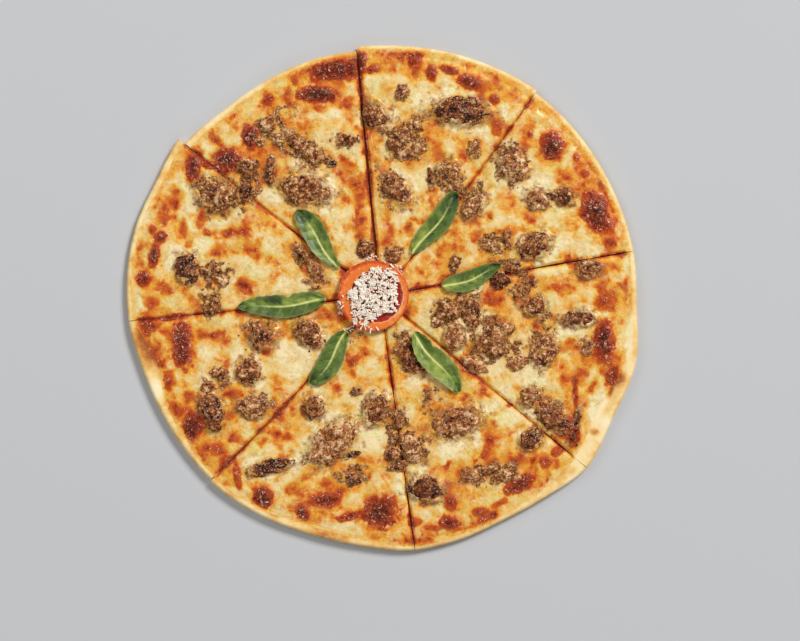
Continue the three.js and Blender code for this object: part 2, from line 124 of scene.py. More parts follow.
class Noise:
    """Seeded smooth noise in two or three dimensions."""

    def __init__(self, seed: int, dims: int = 2) -> None:
        """Draws the random directions that the noise is made from.

        Args:
            seed: Seed of the draws.
            dims: 2 for noise on a plane, 3 in space.
        """
        rng = np.random.default_rng(seed)
        self.dims = dims
        self.order = rng.permutation(256)
        arrows = rng.normal(size=(256, dims))
        self.arrows = arrows / np.linalg.norm(arrows, axis=1, keepdims=True)

    def wave(self, points: Array) -> Array:
        """One layer of waves a unit apart.

        Args:
            points: Rows of coordinates.

        Returns:
            The noise at each point, from about -1 to 1.
        """
        whole = np.floor(points).astype(np.int64)
        part = points - whole
        smooth = part**3 * (part * (part * 6 - 15) + 10)
        total = np.zeros(len(points))
        for corner in itertools.product((0, 1), repeat=self.dims):
            number = np.zeros(len(points), np.int64)
            weight = np.ones(len(points))
            for axis, step in enumerate(corner):
                number = self.order[(number + whole[:, axis] + step) & 255]
                weight = weight * (smooth[:, axis] if step else 1 - smooth[:, axis])
            total += weight * ((part - np.array(corner)) * self.arrows[number]).sum(axis=1)
        return 1.6 * total

    def layers(self, points: Array, size: float, count: int = 4, rough: float = 0.5) -> Array:
        """Waves of the given size with finer and weaker ones on them.

        Args:
            points: Rows of coordinates.
            size: Length of the largest waves, in the points' unit.
            count: How many layers there are.
            rough: Strength of each layer against the one before.

        Returns:
            The noise, from about -1 to 1.
        """
        total = np.zeros(len(points))
        weight, sum_of_weights = 1.0, 0.0
        for layer in range(count):
            total += weight * self.wave(points / size + 17.31 * layer)
            sum_of_weights += weight
            weight *= rough
            size /= 2.03
        return total / sum_of_weights

    def cells(self, points: Array, size: float) -> tuple[Array, Array]:
        """Distance to the nearest of scattered dots.

        Args:
            points: Rows of coordinates.
            size: How far apart the dots are.

        Returns:
            The distance, in units of size, and a random number from 0 to 1 of the dot's own.
        """
        grid = points / size
        whole = np.floor(grid).astype(np.int64)
        nearest = np.full(len(points), 9.0)
        own = np.zeros(len(points))
        for step in itertools.product((-1, 0, 1), repeat=self.dims):
            number = np.zeros(len(points), np.int64)
            for axis, move in enumerate(step):
                number = self.order[(number + whole[:, axis] + move) & 255]
            dot = whole + np.array(step) + 0.5 + 0.42 * self.arrows[number]
            away = np.linalg.norm(grid - dot, axis=1)
            closer = away < nearest
            nearest = np.where(closer, away, nearest)
            own = np.where(closer, number / 255.0, own)
        return nearest, own


# -------------------- the plan of the slices


@dataclass(frozen=True)
class Cut:
    """One cut of the pizza wheel.

    Attributes:
        turn: Direction at the rim, in degrees.
        bow: How far it bends to its left halfway out.
        gap: Width between the slices.
        open: How open it shows, from 0 to 1, at even steps from the middle out.
    """

    turn: float
    bow: float
    gap: float
    open: tuple[float, ...]


@dataclass(frozen=True)
class Edge:
    """Outer edge of a slice: its radius and its bare lip's width at five even steps."""

    rim: tuple[float, ...]
    lip: tuple[float, ...]


@dataclass(frozen=True)
class Plan:
    """Where the cuts and the rim run, in millimetres from the plan's middle.

    Attributes:
        meet: Where the cuts meet.
        tip: Share of the way out at which a slice starts.
        cuts: The cuts, anticlockwise.
        edges: Each slice's outer edge, which starts at the cut of its number.
    """

    meet: tuple[float, float] = (-2.4, 0.9)
    tip: float = 0.016
    cuts: tuple[Cut, ...] = (
        Cut(10.5, 0.3, 0.9, (0.7, 0.5, 0.7, 0.9, 0.8, 1.0)),
        Cut(53.5, -2.0, 0.9, (0.4, 0.3, 0.3, 0.5, 0.6, 0.9)),
        Cut(96.3, 0.0, 1.5, (0.9, 1.0, 1.0, 1.0, 1.0, 1.1)),
        Cut(142.3, 1.3, 0.8, (0.9, 0.9, 0.6, 0.0, 0.0, 0.3)),
        Cut(185.3, 0.0, 1.0, (0.5, 0.5, 0.7, 0.7, 0.1, 0.6)),
        Cut(226.5, 2.4, 1.1, (0.2, 0.4, 0.7, 0.8, 0.9, 0.9)),
        Cut(277.0, 0.0, 0.9, (0.4, 0.8, 0.9, 0.7, 0.9, 0.9)),
        Cut(320.0, 0.0, 0.8, (0.2, 0.2, 0.2, 0.3, 0.8, 0.7)),
    )
    edges: tuple[Edge, ...] = (
        Edge((150.9, 150.6, 150.7, 151.2, 151.5), (3.5, 3.5, 3.5, 3.5, 4)),
        Edge((153, 151.9, 150.9, 150.1, 150), (4, 3.5, 3, 3, 3)),
        Edge((147.6, 147.7, 146.9, 146.9, 149.7), (3, 3, 4, 5, 5)),
        Edge((154.5, 152.4, 153.8, 153.6, 152.7), (5, 5, 4, 4, 4)),
        Edge((152.7, 150, 149.1, 149.1, 149.7), (5, 11, 6, 5, 4)),
        Edge((150.6, 149.4, 147.6, 148.4, 151.5), (4, 4.5, 6, 5, 4)),
        Edge((151.5, 151, 150.4, 153, 157.8), (4, 4, 4, 6, 10)),
        Edge((157.8, 153.9, 154.8, 150.6, 150.9), (11, 11, 8, 5, 3.5)),
    )

    def sides(self, number: int) -> tuple[Cut, Cut]:
        """The two cuts of a slice, the second anticlockwise from the first."""
        return self.cuts[number], self.cuts[(number + 1) % len(self.cuts)]

    def rim(self, number: int, u: Array) -> tuple[Array, Array, Array]:
        """Where the rim runs.

        Args:
            number: The slice's number, from 0.
            u: Shares of the way along its edge.

        Returns:
            The rim's x and y, and the lip's width.
        """
        first, last = (cut.turn for cut in self.sides(number))
        angle = np.radians(mix(first, last + 360.0 * (last < first), u))
        radius = through(self.edges[number].rim, u)
        return radius * np.cos(angle), radius * np.sin(angle), through(self.edges[number].lip, u)

    def spot(self, number: int, u: Array, share: Array, inset: Array) -> tuple[Array, Array, Array]:
        """Places in a slice.

        Args:
            number: The slice's number, from 0.
            u: Share of the way from the slice's first cut to its second.
            share: Share of the way from the middle to the rim.
            inset: How far in from the rim a share of 1 is.

        Returns:
            x, y and the distance in from the rim.
        """
        rim_x, rim_y, _ = self.rim(number, u)
        dx, dy = rim_x - self.meet[0], rim_y - self.meet[1]
        length = np.hypot(dx, dy)
        out = share * (1 - inset / length)
        first, last = self.sides(number)
        bow = mix(first.bow, last.bow, u)
        side = bow * np.sin(np.pi * out) / length
        x = self.meet[0] + dx * out - dy * side
        y = self.meet[1] + dy * out + dx * side
        return x, y, length * (1 - out)

    def between(self, number: int, u: Array, share: Array, clear: Callable) -> tuple[Array, Array]:
        """Squeezes u so that a piece stays clear of both cuts.

        Args:
            number: The slice's number.
            u: Share of the way across the piece.
            share: Share of the way out.
            clear: Gives the clearance at a cut from the cut and the share of the way out.

        Returns:
            The squeezed u, and the slice's width at each place.
        """
        x0, y0, _ = self.rim(number, np.zeros_like(share))
        x1, y1, _ = self.rim(number, np.ones_like(share))
        width = np.maximum(share, self.tip) * np.hypot(x1 - x0, y1 - y0)
        first, last = (clear(cut, share) / width for cut in self.sides(number))
        return mix(first, 1 - last, u), width


@dataclass(frozen=True)
class Heights:
    """Heights that the frame's solids have, in millimetres.

    Attributes:
        dough: Top of the dough.
        lip: Top of the lip.
        clear: Gap between the dough and the cheese.
        cheese: Top of the cheese.
        edge_slope: How much lower the cheese is at its outer edge.
        edge_band: Over what distance it falls.
        swell: Height of its broad waves.
        equator: Where the rim reaches furthest out.
    """

    dough: float = 3.4
    lip: float = 6.2
    clear: float = 0.3
    cheese: float = 6.5
    edge_slope: float = 1.0
    edge_band: float = 6.0
    swell: float = 0.38
    equator: float = 3.0

    @property
    def cheese_bottom(self) -> float:
        """Underside of the cheese."""
        return self.dough + self.clear


# -------------------- spots


def on_plan(column: float, row: float) -> tuple[float, float]:
    """Plan place that a pixel of the photograph shows, in millimetres."""
    return (column - PHOTO_MIDDLE[0]) * PHOTO_SCALE, (PHOTO_MIDDLE[1] - row) * PHOTO_SCALE


@dataclass(frozen=True)
class Spot:
    """An oval patch, by the pixel of the photograph where its middle shows.

    Attributes:
        x: Pixel column of its middle.
        y: Pixel row of its middle.
        long: Its length in pixels.
        wide: Its width in pixels.
        turn: Turn of its length from +X, anticlockwise, in degrees.
        depth: How strong it is, from 0 to 1.
    """

    x: float
    y: float
    long: float
    wide: float
    turn: float = 0.0
    depth: float = 1.0

    @property
    def middle(self) -> tuple[float, float]:
        """Plan place of its middle, in millimetres."""
        return on_plan(self.x, self.y)

    def away(self, x: Array, y: Array) -> Array:
        """How far points are from the middle, in half widths.

        Args:
            x: Plan x of the points.
            y: Plan y of the points.

        Returns:
            The distances.
        """
        cx, cy = self.middle
        c, s = math.cos(math.radians(self.turn)), math.sin(math.radians(self.turn))
        along = ((x - cx) * c + (y - cy) * s) / (self.long * PHOTO_SCALE / 2)
        across = ((y - cy) * c - (x - cx) * s) / (self.wide * PHOTO_SCALE / 2)
        return np.hypot(along, across)

    @classmethod
    def many(cls, *rows: tuple[float, ...]) -> tuple[Spot, ...]:
        """Spots from rows of their fields."""
        return tuple(cls(*row) for row in rows)


BLISTERS = Spot.many(
    (251, 136, 18, 28),
    (193, 167, 16, 28),
    (208, 165, 18, 9, -10, 0.8),
    (227, 160, 30, 24, 30),
    (332, 71, 54, 22, 12),
    (352, 68, 16, 24, 0, 0.8),
    (318, 94, 42, 18, 0),
    (362, 63, 10, 24, 0, 0.9),
    (373, 69, 14, 9, 0, 0.8),
    (432, 72, 12, 18, 10, 0.8),
    (449, 70, 20, 9, -15, 0.8),
    (470, 82, 28, 14, -20, 0.9),
    (494, 99, 12, 10, 0, 0.7),
    (497, 127, 12, 22, 0, 0.6),
    (552, 146, 26, 30),
    (530, 134, 7, 8, 0, 0.7),
    (576, 157, 8, 10, 0, 0.6),
    (585, 173, 10, 10, 0, 0.6),
    (596, 213, 48, 28, -68),
    (606, 300, 18, 26, 0, 0.6),
    (604, 342, 22, 44),
    (573, 430, 14, 34, 0, 0.9),
    (545, 462, 14, 14, 0, 0.7),
    (557, 452, 14, 10, 30, 0.7),
    (520, 484, 38, 15, 33, 0.9),
    (485, 455, 10, 8, 0, 0.4),
    (480, 512, 22, 10, 10, 0.7),
    (500, 503, 20, 7, 25, 0.6),
    (451, 503, 14, 16, 0, 0.8),
    (450, 523, 22, 15, 0, 0.9),
    (415, 523, 14, 10, 0, 0.6),
    (432, 528, 22, 6, -5, 0.6),
    (380, 512, 36, 34, 0),
    (347, 517, 26, 9, 15, 0.8),
    (325, 500, 34, 15, 5, 0.9),
    (303, 513, 12, 18, 20, 0.9),
    (263, 497, 22, 24, 0),
    (237, 475, 8, 28, 10, 0.7),
    (226, 460, 12, 12, 0, 0.5),
    (193, 425, 22, 30, -20),
    (169, 380, 12, 20, 0, 0.6),
    (182, 345, 20, 52, 4),
    (172, 317, 22, 7, 15, 0.8),
    (144, 279, 16, 16, 0, 0.9),
    (161, 237, 16, 12, 40, 0.9),
    (154, 255, 11, 26, -14, 0.9),
    (152, 229, 9, 9, 0, 0.6),
)

TOASTED = Spot.many(
    (165, 207, 22, 20, 20, 0.8),
    (216, 138, 14, 16, 0, 0.6),
    (200, 152, 10, 8, 0, 0.6),
    (176, 190, 12, 10, 0, 0.5),
    (183, 228, 8, 18, 0, 0.9),
    (230, 234, 32, 8, 5, 0.7),
    (246, 232, 10, 18, 0, 0.8),
    (221, 248, 14, 14, 0, 0.6),
    (259, 250, 8, 22, 0, 0.7),
    (272, 262, 16, 10, 0, 0.6),
    (274, 278, 9, 14, 0, 0.9),
    (239, 290, 24, 12, 0, 0.6),
    (279, 230, 14, 12, 0, 0.6),
    (210, 335, 22, 6, 10, 0.6),
    (227, 341, 9, 8, 0, 0.8),
    (343, 198, 9, 10, 0, 0.8),
    (360, 205, 12, 17, 0, 0.8),
    (361, 220, 12, 24, 0, 0.9),
    (342, 175, 10, 8, 0, 0.6),
    (344, 157, 9, 8, 0, 0.6),
    (437, 144, 11, 7, 0, 0.7),
    (408, 230, 12, 11, 0, 0.7),
    (386, 215, 10, 12, 0, 0.5),
    (407, 245, 12, 8, 0, 0.6),
    (440, 252, 12, 8, 0, 0.6),
    (427, 258, 10, 8, 0, 0.6),
    (350, 362, 12, 24, 0, 0.8),
    (342, 408, 20, 8, 0, 0.6),
    (281, 392, 14, 8, 0, 0.6),
    (287, 437, 9, 9, 0, 0.9),
    (277, 433, 10, 8, 0, 0.6),
    (293, 428, 10, 8, 0, 0.5),
    (262, 442, 12, 8, 0, 0.6),
    (233, 412, 10, 15, 0, 0.7),
    (569, 222, 18, 16, 0, 0.8),
    (490, 216, 12, 10, 0, 0.7),
    (530, 219, 12, 9, 0, 0.6),
    (493, 305, 22, 30, 0, 0.6),
    (560, 365, 14, 10, 0, 0.7),
    (582, 375, 10, 18, 0, 0.9),
    (613, 385, 14, 14, 0, 0.8),
    (583, 400, 10, 16, 0, 0.7),
    (575, 388, 6, 26, 0, 0.9),
    (592, 433, 12, 12, 0, 0.5),
    (405, 62, 42, 26, 0, 0.45),
    (345, 273, 12, 18, -40, 0.8),
    (320, 280, 22, 8, -30, 0.7),
    (335, 312, 14, 16, 0, 0.6),
    (414, 289, 24, 11, 10, 0.9),
    (401, 267, 12, 22, 35, 0.7),
    (411, 310, 20, 26, 0, 0.4),
    (300, 255, 26, 10, -45, 0.7),
    (284, 96, 20, 16, 20, 0.7),
    (272, 104, 14, 20, 0, 0.8),
    (343, 103, 16, 12, 0, 0.8),
    (316, 109, 20, 8, 0, 0.8),
    (389, 88, 18, 14, 0, 0.6),
    (395, 70, 16, 10, 0, 0.7),
    (478, 100, 14, 10, 0, 0.5),
    (560, 178, 14, 16, 0, 0.6),
    (610, 240, 14, 20, 0, 0.7),
    (618, 262, 12, 16, 0, 0.6),
    (486, 450, 26, 12, 30, 0.7),
    (512, 462, 20, 20, 0, 0.7),
    (491, 436, 16, 12, 0, 0.6),
    (420, 505, 14, 10, 0, 0.6),
    (300, 490, 20, 10, 0, 0.6),
    (345, 490, 26, 10, 0, 0.6),
    (250, 480, 14, 14, 0, 0.6),
    (212, 450, 16, 10, -30, 0.7),
    (190, 400, 12, 16, 0, 0.7),
    (172, 345, 10, 30, 0, 0.6),
    (200, 360, 12, 10, 0, 0.5),
    (150, 300, 18, 10, 0, 0.6),
)

CRUST = Spot.many(
    (148, 342, 30, 56, 12, 0.8),
    (161, 357, 15, 30, 10, 1.0),
    (145, 402, 16, 44, 24, -0.5),
    (155, 388, 16, 30, 24, -0.5),
    (619, 302, 26, 50, 0, 0.75),
    (626, 262, 12, 40, 0, -0.4),
    (629, 340, 10, 60, 0, -0.5),
    (617, 378, 20, 20, 0, 0.8),
    (612, 390, 24, 7, 62, 0.7),
    (606, 376, 24, 6, -52, 0.6),
    (593, 384, 30, 7, 66, 0.5),
    (576, 396, 7, 36, 0, 0.8),
    (596, 411, 15, 52, -26, -0.7),
    (606, 425, 18, 40, -30, -0.4),
    (582, 454, 22, 40, -35, -0.3),
    (595, 432, 12, 9, 0, 0.7),
    (573, 480, 26, 12, 40, -0.3),
    (139, 230, 10, 80, -18, -0.4),
    (141, 296, 12, 40, 0, -0.3),
    (232, 102, 70, 12, 38, -0.4),
    (260, 108, 34, 10, 38, 0.35),
    (400, 58, 60, 20, 0, 0.15),
    (340, 58, 50, 14, 15, 0.3),
    (500, 84, 60, 24, -25, 0.25),
    (545, 112, 40, 24, -35, 0.3),
    (480, 62, 60, 10, -22, -0.3),
    (420, 542, 34, 10, 0, 0.6),
    (330, 536, 54, 10, -12, 0.4),
    (490, 516, 44, 12, 30, 0.6),
    (245, 500, 60, 10, -45, -0.3),
)

POOLS = Spot.many(
    (204, 243, 18, 15, 0, 1.0),
    (194, 224, 16, 14, 0, 0.7),
    (403, 178, 8, 14, 0, 0.9),
    (365, 165, 14, 16, 0, 0.8),
    (320, 113, 40, 12, 0, 0.5),
    (370, 445, 36, 30, 0, 0.8),
    (336, 530, 44, 14, 0, 0.7),
    (193, 205, 20, 18, 0, 0.7),
    (330, 190, 14, 30, -15, 0.9),
    (350, 152, 20, 20, 0, 0.7),
    (268, 196, 24, 8, -10, 0.8),
    (540, 180, 26, 14, 0, 0.6),
    (590, 250, 22, 20, 0, 0.7),
    (505, 222, 26, 18, 0, 0.7),
    (548, 268, 34, 14, 10, 0.7),
    (490, 365, 28, 20, 0, 0.8),
    (505, 395, 20, 18, 0, 0.7),
    (520, 415, 24, 16, 0, 0.8),
    (565, 330, 12, 26, -30, 0.7),
    (478, 440, 8, 26, 10, 0.8),
    (450, 450, 20, 16, 0, 0.7),
    (405, 412, 14, 22, 0, 0.6),
    (230, 290, 16, 10, 0, 0.5),
    (215, 225, 26, 10, 0, 0.6),
    (288, 285, 26, 16, 0, 0.6),
    (330, 240, 14, 20, 0, 0.5),
    (388, 120, 14, 20, 0, 0.6),
    (440, 100, 30, 10, 0, 0.6),
    (500, 175, 14, 26, 0, 0.5),
    (285, 350, 18, 26, 0, 0.6),
    (290, 372, 22, 12, 0, 0.7),
    (235, 350, 14, 14, 0, 0.5),
    (230, 320, 26, 10, 0, 0.6),
    (300, 460, 30, 12, 20, 0.6),
    (345, 380, 20, 16, 0, 0.6),
    (190, 262, 10, 12, 0, 0.5),
    (500, 245, 10, 16, 0, 0.6),
    (447, 230, 14, 24, 0, 0.5),
)

GROUND = Spot.many(
    (270, 130, 40, 34, 0, 0.9),
    (302, 149, 64, 30, -35, 1.0),
    (285, 112, 34, 16, 0, 0.5),
    (345, 141, 36, 18, 0, 0.7),
    (322, 160, 22, 16, 0, 0.8),
    (250, 185, 26, 44, 10, 0.8),
    (268, 176, 14, 30, 0, 0.6),
    (222, 198, 56, 46, 0, 0.8),
    (392, 112, 14, 34, 0, 0.5),
    (404, 142, 44, 44, 0, 0.9),
    (416, 122, 20, 20, 0, 0.7),
    (393, 190, 36, 44, 20, 0.7),
    (378, 170, 16, 34, 0, 0.4),
    (446, 176, 40, 34, 0, 0.7),
    (468, 198, 44, 30, 40, 0.9),
    (474, 150, 18, 26, 0, 0.6),
    (510, 164, 40, 50, 20, 0.9),
    (549, 198, 40, 18, 0, 0.6),
    (495, 243, 36, 26, 0, 0.9),
    (508, 258, 40, 20, 20, 0.7),
    (456, 266, 20, 26, 0, 0.7),
    (450, 314, 44, 34, 0, 0.9),
    (486, 338, 50, 54, 0, 0.9),
    (512, 350, 30, 24, 0, 0.8),
    (522, 288, 34, 40, 0, 0.7),
    (540, 335, 26, 60, -20, 0.7),
    (584, 346, 20, 26, 0, 0.5),
    (476, 364, 30, 22, 0, 0.7),
    (408, 350, 34, 46, 20, 0.8),
    (398, 432, 26, 50, 0, 1.0),
    (396, 462, 26, 26, 0, 0.8),
    (416, 446, 34, 34, 0, 0.8),
    (430, 400, 30, 30, 0, 0.6),
    (352, 474, 44, 24, 0, 0.7),
    (330, 452, 66, 30, 20, 0.6),
    (490, 474, 62, 24, 10, 1.0),
    (215, 272, 36, 26, 0, 0.9),
    (211, 300, 24, 44, 0, 0.9),
    (217, 380, 34, 26, 0, 0.8),
    (254, 406, 42, 28, 0, 1.0),
    (214, 420, 26, 26, 0, 0.7),
    (366, 248, 26, 22, 0, 0.8),
    (394, 254, 26, 20, 0, 0.8),
    (309, 264, 20, 56, 38, 0.9),
    (312, 285, 26, 16, 0, 0.6),
    (352, 336, 30, 14, 0, 0.5),
    (545, 412, 50, 40, 0, 0.6),
    (560, 436, 40, 14, -30, 0.7),
    (357, 392, 16, 14, 0, 0.6),
    (313, 408, 34, 30, 0, 0.5),
    (258, 334, 44, 38, 0, 0.5),
    (310, 333, 40, 40, 0, 0.5),
)


# -------------------- the cheese's surface


@dataclass(frozen=True)
class Surface:
    """What the top of the cheese is like at each point asked for.

    Attributes:
        z: Height in millimetres.
        toast: How browned it is, from 0, white, to 1, nearly black, with painted shade added along the
            cuts.
        meat: How much of it is ground meat.
        tone: How light that meat is.
        juice: How far meat juice has coloured it.
        gloss: How oily it is.
    """

    z: Array
    toast: Array
    meat: Array
    tone: Array
    juice: Array
    gloss: Array


@dataclass
class Mound:
    """A meat piece that the cheese drapes round: its plan oval and its top, in millimetres."""

    middle: Array
    axes: Array
    half: Array
    top: float

    @classmethod
    def under(cls, node: Piece) -> Mound:
        """Measures a frame node's footprint.

        Args:
            node: The meat piece's node.

        Returns:
            The mound that stands for it.
        """
        points = vertices(node) / MM
        flat = points[:, :2] - PLAN_SHIFT
        middle = (flat.max(axis=0) + flat.min(axis=0)) / 2
        _, axes = np.linalg.eigh(np.cov((flat - flat.mean(axis=0)).T))
        along = (flat - middle) @ axes
        half = (along.max(axis=0) - along.min(axis=0)) / 2
        return cls(middle, axes, half, float(points[:, 2].max()))

    def away(self, points: Array) -> Array:
        """How far points are from the middle, in half widths."""
        return np.linalg.norm((points - self.middle) @ self.axes / self.half, axis=1)


@dataclass(frozen=True)
class Outline:
    """How a spot's edge is drawn, in half widths: how uneven, where, and how soft."""

    ragged: float
    edge: float
    soft: float

    def fill(self, spots: Iterable[Spot], points: Array, rough: Array) -> Array:
        """How far points are inside any of some spots.

        Args:
            spots: The spots.
            points: Plan points.
            rough: Unevenness of the outlines, one for each point.

        Returns:
            0 outside all of them, up to the spot's depth inside.
        """
        found = np.zeros(len(points))
        for spot in spots:
            away = spot.away(points[:, 0], points[:, 1])
            near = away < self.edge + self.soft + 1.2 * self.ragged
            out = away[near] + self.ragged * rough[near]
            inside = 1 - ease(self.edge - self.soft, self.edge + self.soft, out)
            found[near] = np.maximum(found[near], spot.depth * inside)
        return found


def crust_tone(points: Array, rough: Array) -> Array:
    """How much the crust's colour differs at some plan points.

    Args:
        points: Plan points.
        rough: Unevenness of the spots' outlines.

    Returns:
        What to add to the browning, below 0 where it is paler.
    """
    tone = np.zeros(len(points))
    for spot in CRUST:
        tone += spot.depth * (1 - ease(0.3, 1.3, spot.away(*points.T) + 0.35 * rough))
    return tone


class MeltedCheese:
    """The top of the melted cheese: its relief, its browning and the meat in it."""

    def __init__(self, plan: Plan, heights: Heights, mounds: Sequence[Mound]) -> None:
        """Keeps the plan and the meat, and seeds the noises.

        Args:
            plan: The plan of the slices.
            heights: The frame's heights.
            mounds: The meat pieces.
        """
        self.plan = plan
        self.heights = heights
        self.mounds = mounds
        self.broad = Noise(3)
        self.middling = Noise(5)
        self.fine = Noise(7)
        self.bend = Noise(9)
        self.dots = Noise(12)
        self.bubbles = Noise(13)
        self.freckles = Noise(14)
        self.grains = Noise(16)

    def browned(self, points: Array, bent: Array, rough: Array) -> Array:
        """How browned the cheese is where it has not blistered: golden bubbles in pale pools.

        Args:
            points: Plan points.
            bent: The same places, warped, for the patterns.
            rough: Unevenness of the outlines.

        Returns:
            The browning, from about 0 to 1.
        """
        fine = self.fine.layers(bent, 3.0, 3, 0.6)
        bent = bent + 0.9 * np.stack([rough, fine], axis=1)
        zone = 0.7 * self.broad.layers(bent, 28.0, 3) + 0.5 * self.middling.layers(bent, 11.0, 3, 0.5)
        zone -= 0.70 * Outline(0.5, 1.0, 0.5).fill(POOLS, points, rough)
        zone += 0.35 * Outline(0.5, 1.3, 0.5).fill(TOASTED, points, rough)
        toast = 0.215 + 0.11 * np.tanh(6.0 * zone) + 0.10 * zone + 0.05 * fine
        kinds = ((self.dots, 14.0, 0.20), (self.bubbles, 8.0, 0.18), (self.freckles, 4.4, 0.10))
        for dots, size, deep in kinds:
            dot, own = dots.cells(bent, size)
            strong = ease(0.25, 0.95, own + 0.8 * zone)
            toast += deep * strong * (2.0 - ease(0.12, 0.60, dot) - ease(0.02, 0.30, dot))
        toast = np.maximum(toast, 0.04 + 0.05 * fine)
        toast = np.where(toast > 0.5, 0.5 + 0.6 * (toast - 0.5), toast)
        return toast + 0.24 * Outline(0.45, 0.72, 0.68).fill(TOASTED, points, rough)

    def ground(self, points: Array, rough: Array) -> tuple[Array, Array, Array]:
        """Ground meat in the cheese.

        Args:
            points: Plan points.
            rough: Unevenness of the spots' outlines.

        Returns:
            Share of meat, its tone, and how far it stands out.
        """
        zones = Outline(0.4, 0.95, 0.45).fill(GROUND, points, rough)
        crumble = self.fine.layers(points + 40.0, 5.2, 3, 0.55)
        share = 0.92 * ease(0.16, 0.74, zones * (0.70 + 1.3 * crumble))
        for mound in self.mounds:
            away = mound.away(points)
            near = away < 1.8
            fringe = 1 - ease(0.8, 1.6, away[near] - 0.7 * crumble[near])
            share[near] = np.maximum(share[near], 0.46 * fringe)
        flakes = self.grains.layers(points, 2.0, 3, 0.6)
        return share, 0.50 + 0.10 * flakes + 0.3 * crumble, share * (0.50 + 0.50 * flakes)

    def ringed(self, points: Array) -> Array:
        """How far points lie on the pale rings of cheese round the meat.

        Args:
            points: Plan points.

        Returns:
            0 away from the rings, up to 1 on them.
        """
        ring = np.zeros(len(points))
        for mound in self.mounds:
            ring = np.maximum(ring, np.exp(-(((mound.away(points) - 1.45) / 0.25) ** 2)))
        return ring * ease(-0.35, 0.25, self.middling.layers(points + 29.0, 9.0, 3))

    def skirt(self, points: Array, z: Array) -> Array:
        """Heights with the cheese climbing a little way up the meat.

        Args:
            points: Plan points.
            z: Heights before.

        Returns:
            Heights after.
        """
        raised = z.copy()
        for mound in self.mounds:
            away = mound.away(points)
            near = away < 1.4
            climb = 0.5 + 0.5 * np.tanh(2.4 * self.middling.layers(points[near] + 13.0, 5.5, 3))
            rise = mound.top - self.heights.cheese
            up = rise * (0.14 + 0.50 * climb) * (1 - ease(0.80, 1.25, away[near]))
            raised[near] += up
        return raised

    def at(self, points: Array, rim: Array, cut: Array) -> Surface:
        """The surface at some plan points.

        Args:
            points: Plan points.
            rim: Distance in from the bare lip, negative on it.
            cut: Distance from the nearest cut.

        Returns:
            What the cheese is like there.
        """
        h = self.heights
        x, y = points.T
        warp = (self.bend.layers(points, 9.0, 3), self.bend.layers(points + 71.0, 9.0, 3))
        bent = points + 3.0 * np.stack(warp, axis=1)
        rough = self.middling.layers(points, 4.2, 4, 0.6)
        fine = self.fine.layers(bent, 2.4, 3, 0.55)
        swell = 0.5 * np.sin(x / 8.5 + 1.3) * np.cos(y / 10.1 - 0.4)
        swell += 0.5 * np.sin((x + y) / 13.7 + 0.5) * np.cos((x - 1.6 * y) / 12.3)

        toast = self.browned(points, bent, rough) - 0.15 * self.ringed(points)
        torn = rough + 0.7 * warp[0]
        halo = Outline(0.45, 1.25, 0.4).fill(BLISTERS, points, torn)
        blister = Outline(0.45, 1.0, 0.14).fill(BLISTERS, points, torn)
        dome = Outline(0.45, 0.6, 0.5).fill(BLISTERS, points, torn)
        toast = mix(toast, np.maximum(toast, 0.52 + 0.1 * fine), halo)
        toast = mix(toast, 0.71 + 0.22 * dome + 0.20 * rough + 0.10 * fine, blister)
        # Painted shade along the cuts: the cheese beside each cut is darkened brown, up to a cap unless
        # it is browner already.
        cut_shaded = toast + (0.34 + 0.25 * rough) * np.exp(-((cut / 1.2) ** 2))
        toast = np.minimum(cut_shaded, np.maximum(toast, 0.76))
        crust = np.minimum(crust_tone(points, rough), 1.0)
        bare = 0.265 + 0.10 * fine + 0.46 * crust
        edge = 0.08 * np.exp(-(((rim - 1.5 + 1.6 * fine) / 1.6) ** 2))
        toast = mix(bare, toast + edge, ease(-1.8, 2.4, rim + 1.4 * fine))
        baked = np.minimum(toast + 0.30 * crust * ease(-1.8, 2.4, rim), 0.8)
        toast = np.where(blister > 0.5, toast, baked)

        meat, tone, grain = self.ground(points, rough)
        meat = meat * (1 - blister) * ease(0.5, 3.0, rim)
        z = h.cheese + h.swell * swell + 0.34 * rough + 0.20 * fine + 0.8 * (toast - 0.35)
        z -= 1.3 * (np.minimum(toast, 0.5) - 0.3)
        z += blister**2 * (0.30 + 0.80 * dome + 0.25 * rough) + grain * meat
        z = self.skirt(points, z)
        z -= h.edge_slope * (1 - ease(0, h.edge_band, rim)) * (1 - 0.5 * blister)
        z -= 0.75 * np.exp(-((cut / 0.9) ** 2)) + 0.25 * np.exp(-((cut / 2.6) ** 2))

        juice = Outline(0.5, 1.25, 0.6).fill(GROUND, points, rough) * (0.55 + 0.8 * rough)
        gloss = np.clip(0.45 - 0.2 * blister + 0.5 * rough, 0, 1) * ease(0.6, 3.0, cut)
        return Surface(
            z, np.clip(toast, 0, 1), meat, np.clip(tone, 0, 1), np.clip(juice, 0, 1), gloss
        )


# -------------------- mesh work


def vertices(piece: Piece) -> Array:
    """The piece's vertices as rows of x, y and z."""
    flat = np.empty(3 * len(piece.data.vertices))
    piece.data.vertices.foreach_get("co", flat)
    return flat.reshape(-1, 3)


def put(piece: Piece, points: Array) -> None:
    """Moves the piece's vertices to rows of x, y and z."""
    piece.data.vertices.foreach_set("co", np.ascontiguousarray(points, np.float32).ravel())
    piece.data.update()


def note(piece: Piece, name: str, values: Array) -> None:
    """Writes a number on each vertex, for a material to read."""
    layer = piece.data.attributes.new(name, "FLOAT", "POINT")
    layer.data.foreach_set("value", np.ascontiguousarray(values, np.float32))


def pick(piece: Piece) -> None:
    """Makes the piece the only selected and active one.

    Args:
        piece: The piece.
    """
    if bpy.context.mode != "OBJECT":
        bpy.ops.object.mode_set(mode="OBJECT")
    bpy.ops.object.select_all(action="DESELECT")
    piece.select_set(True)
    bpy.context.view_layer.objects.active = piece


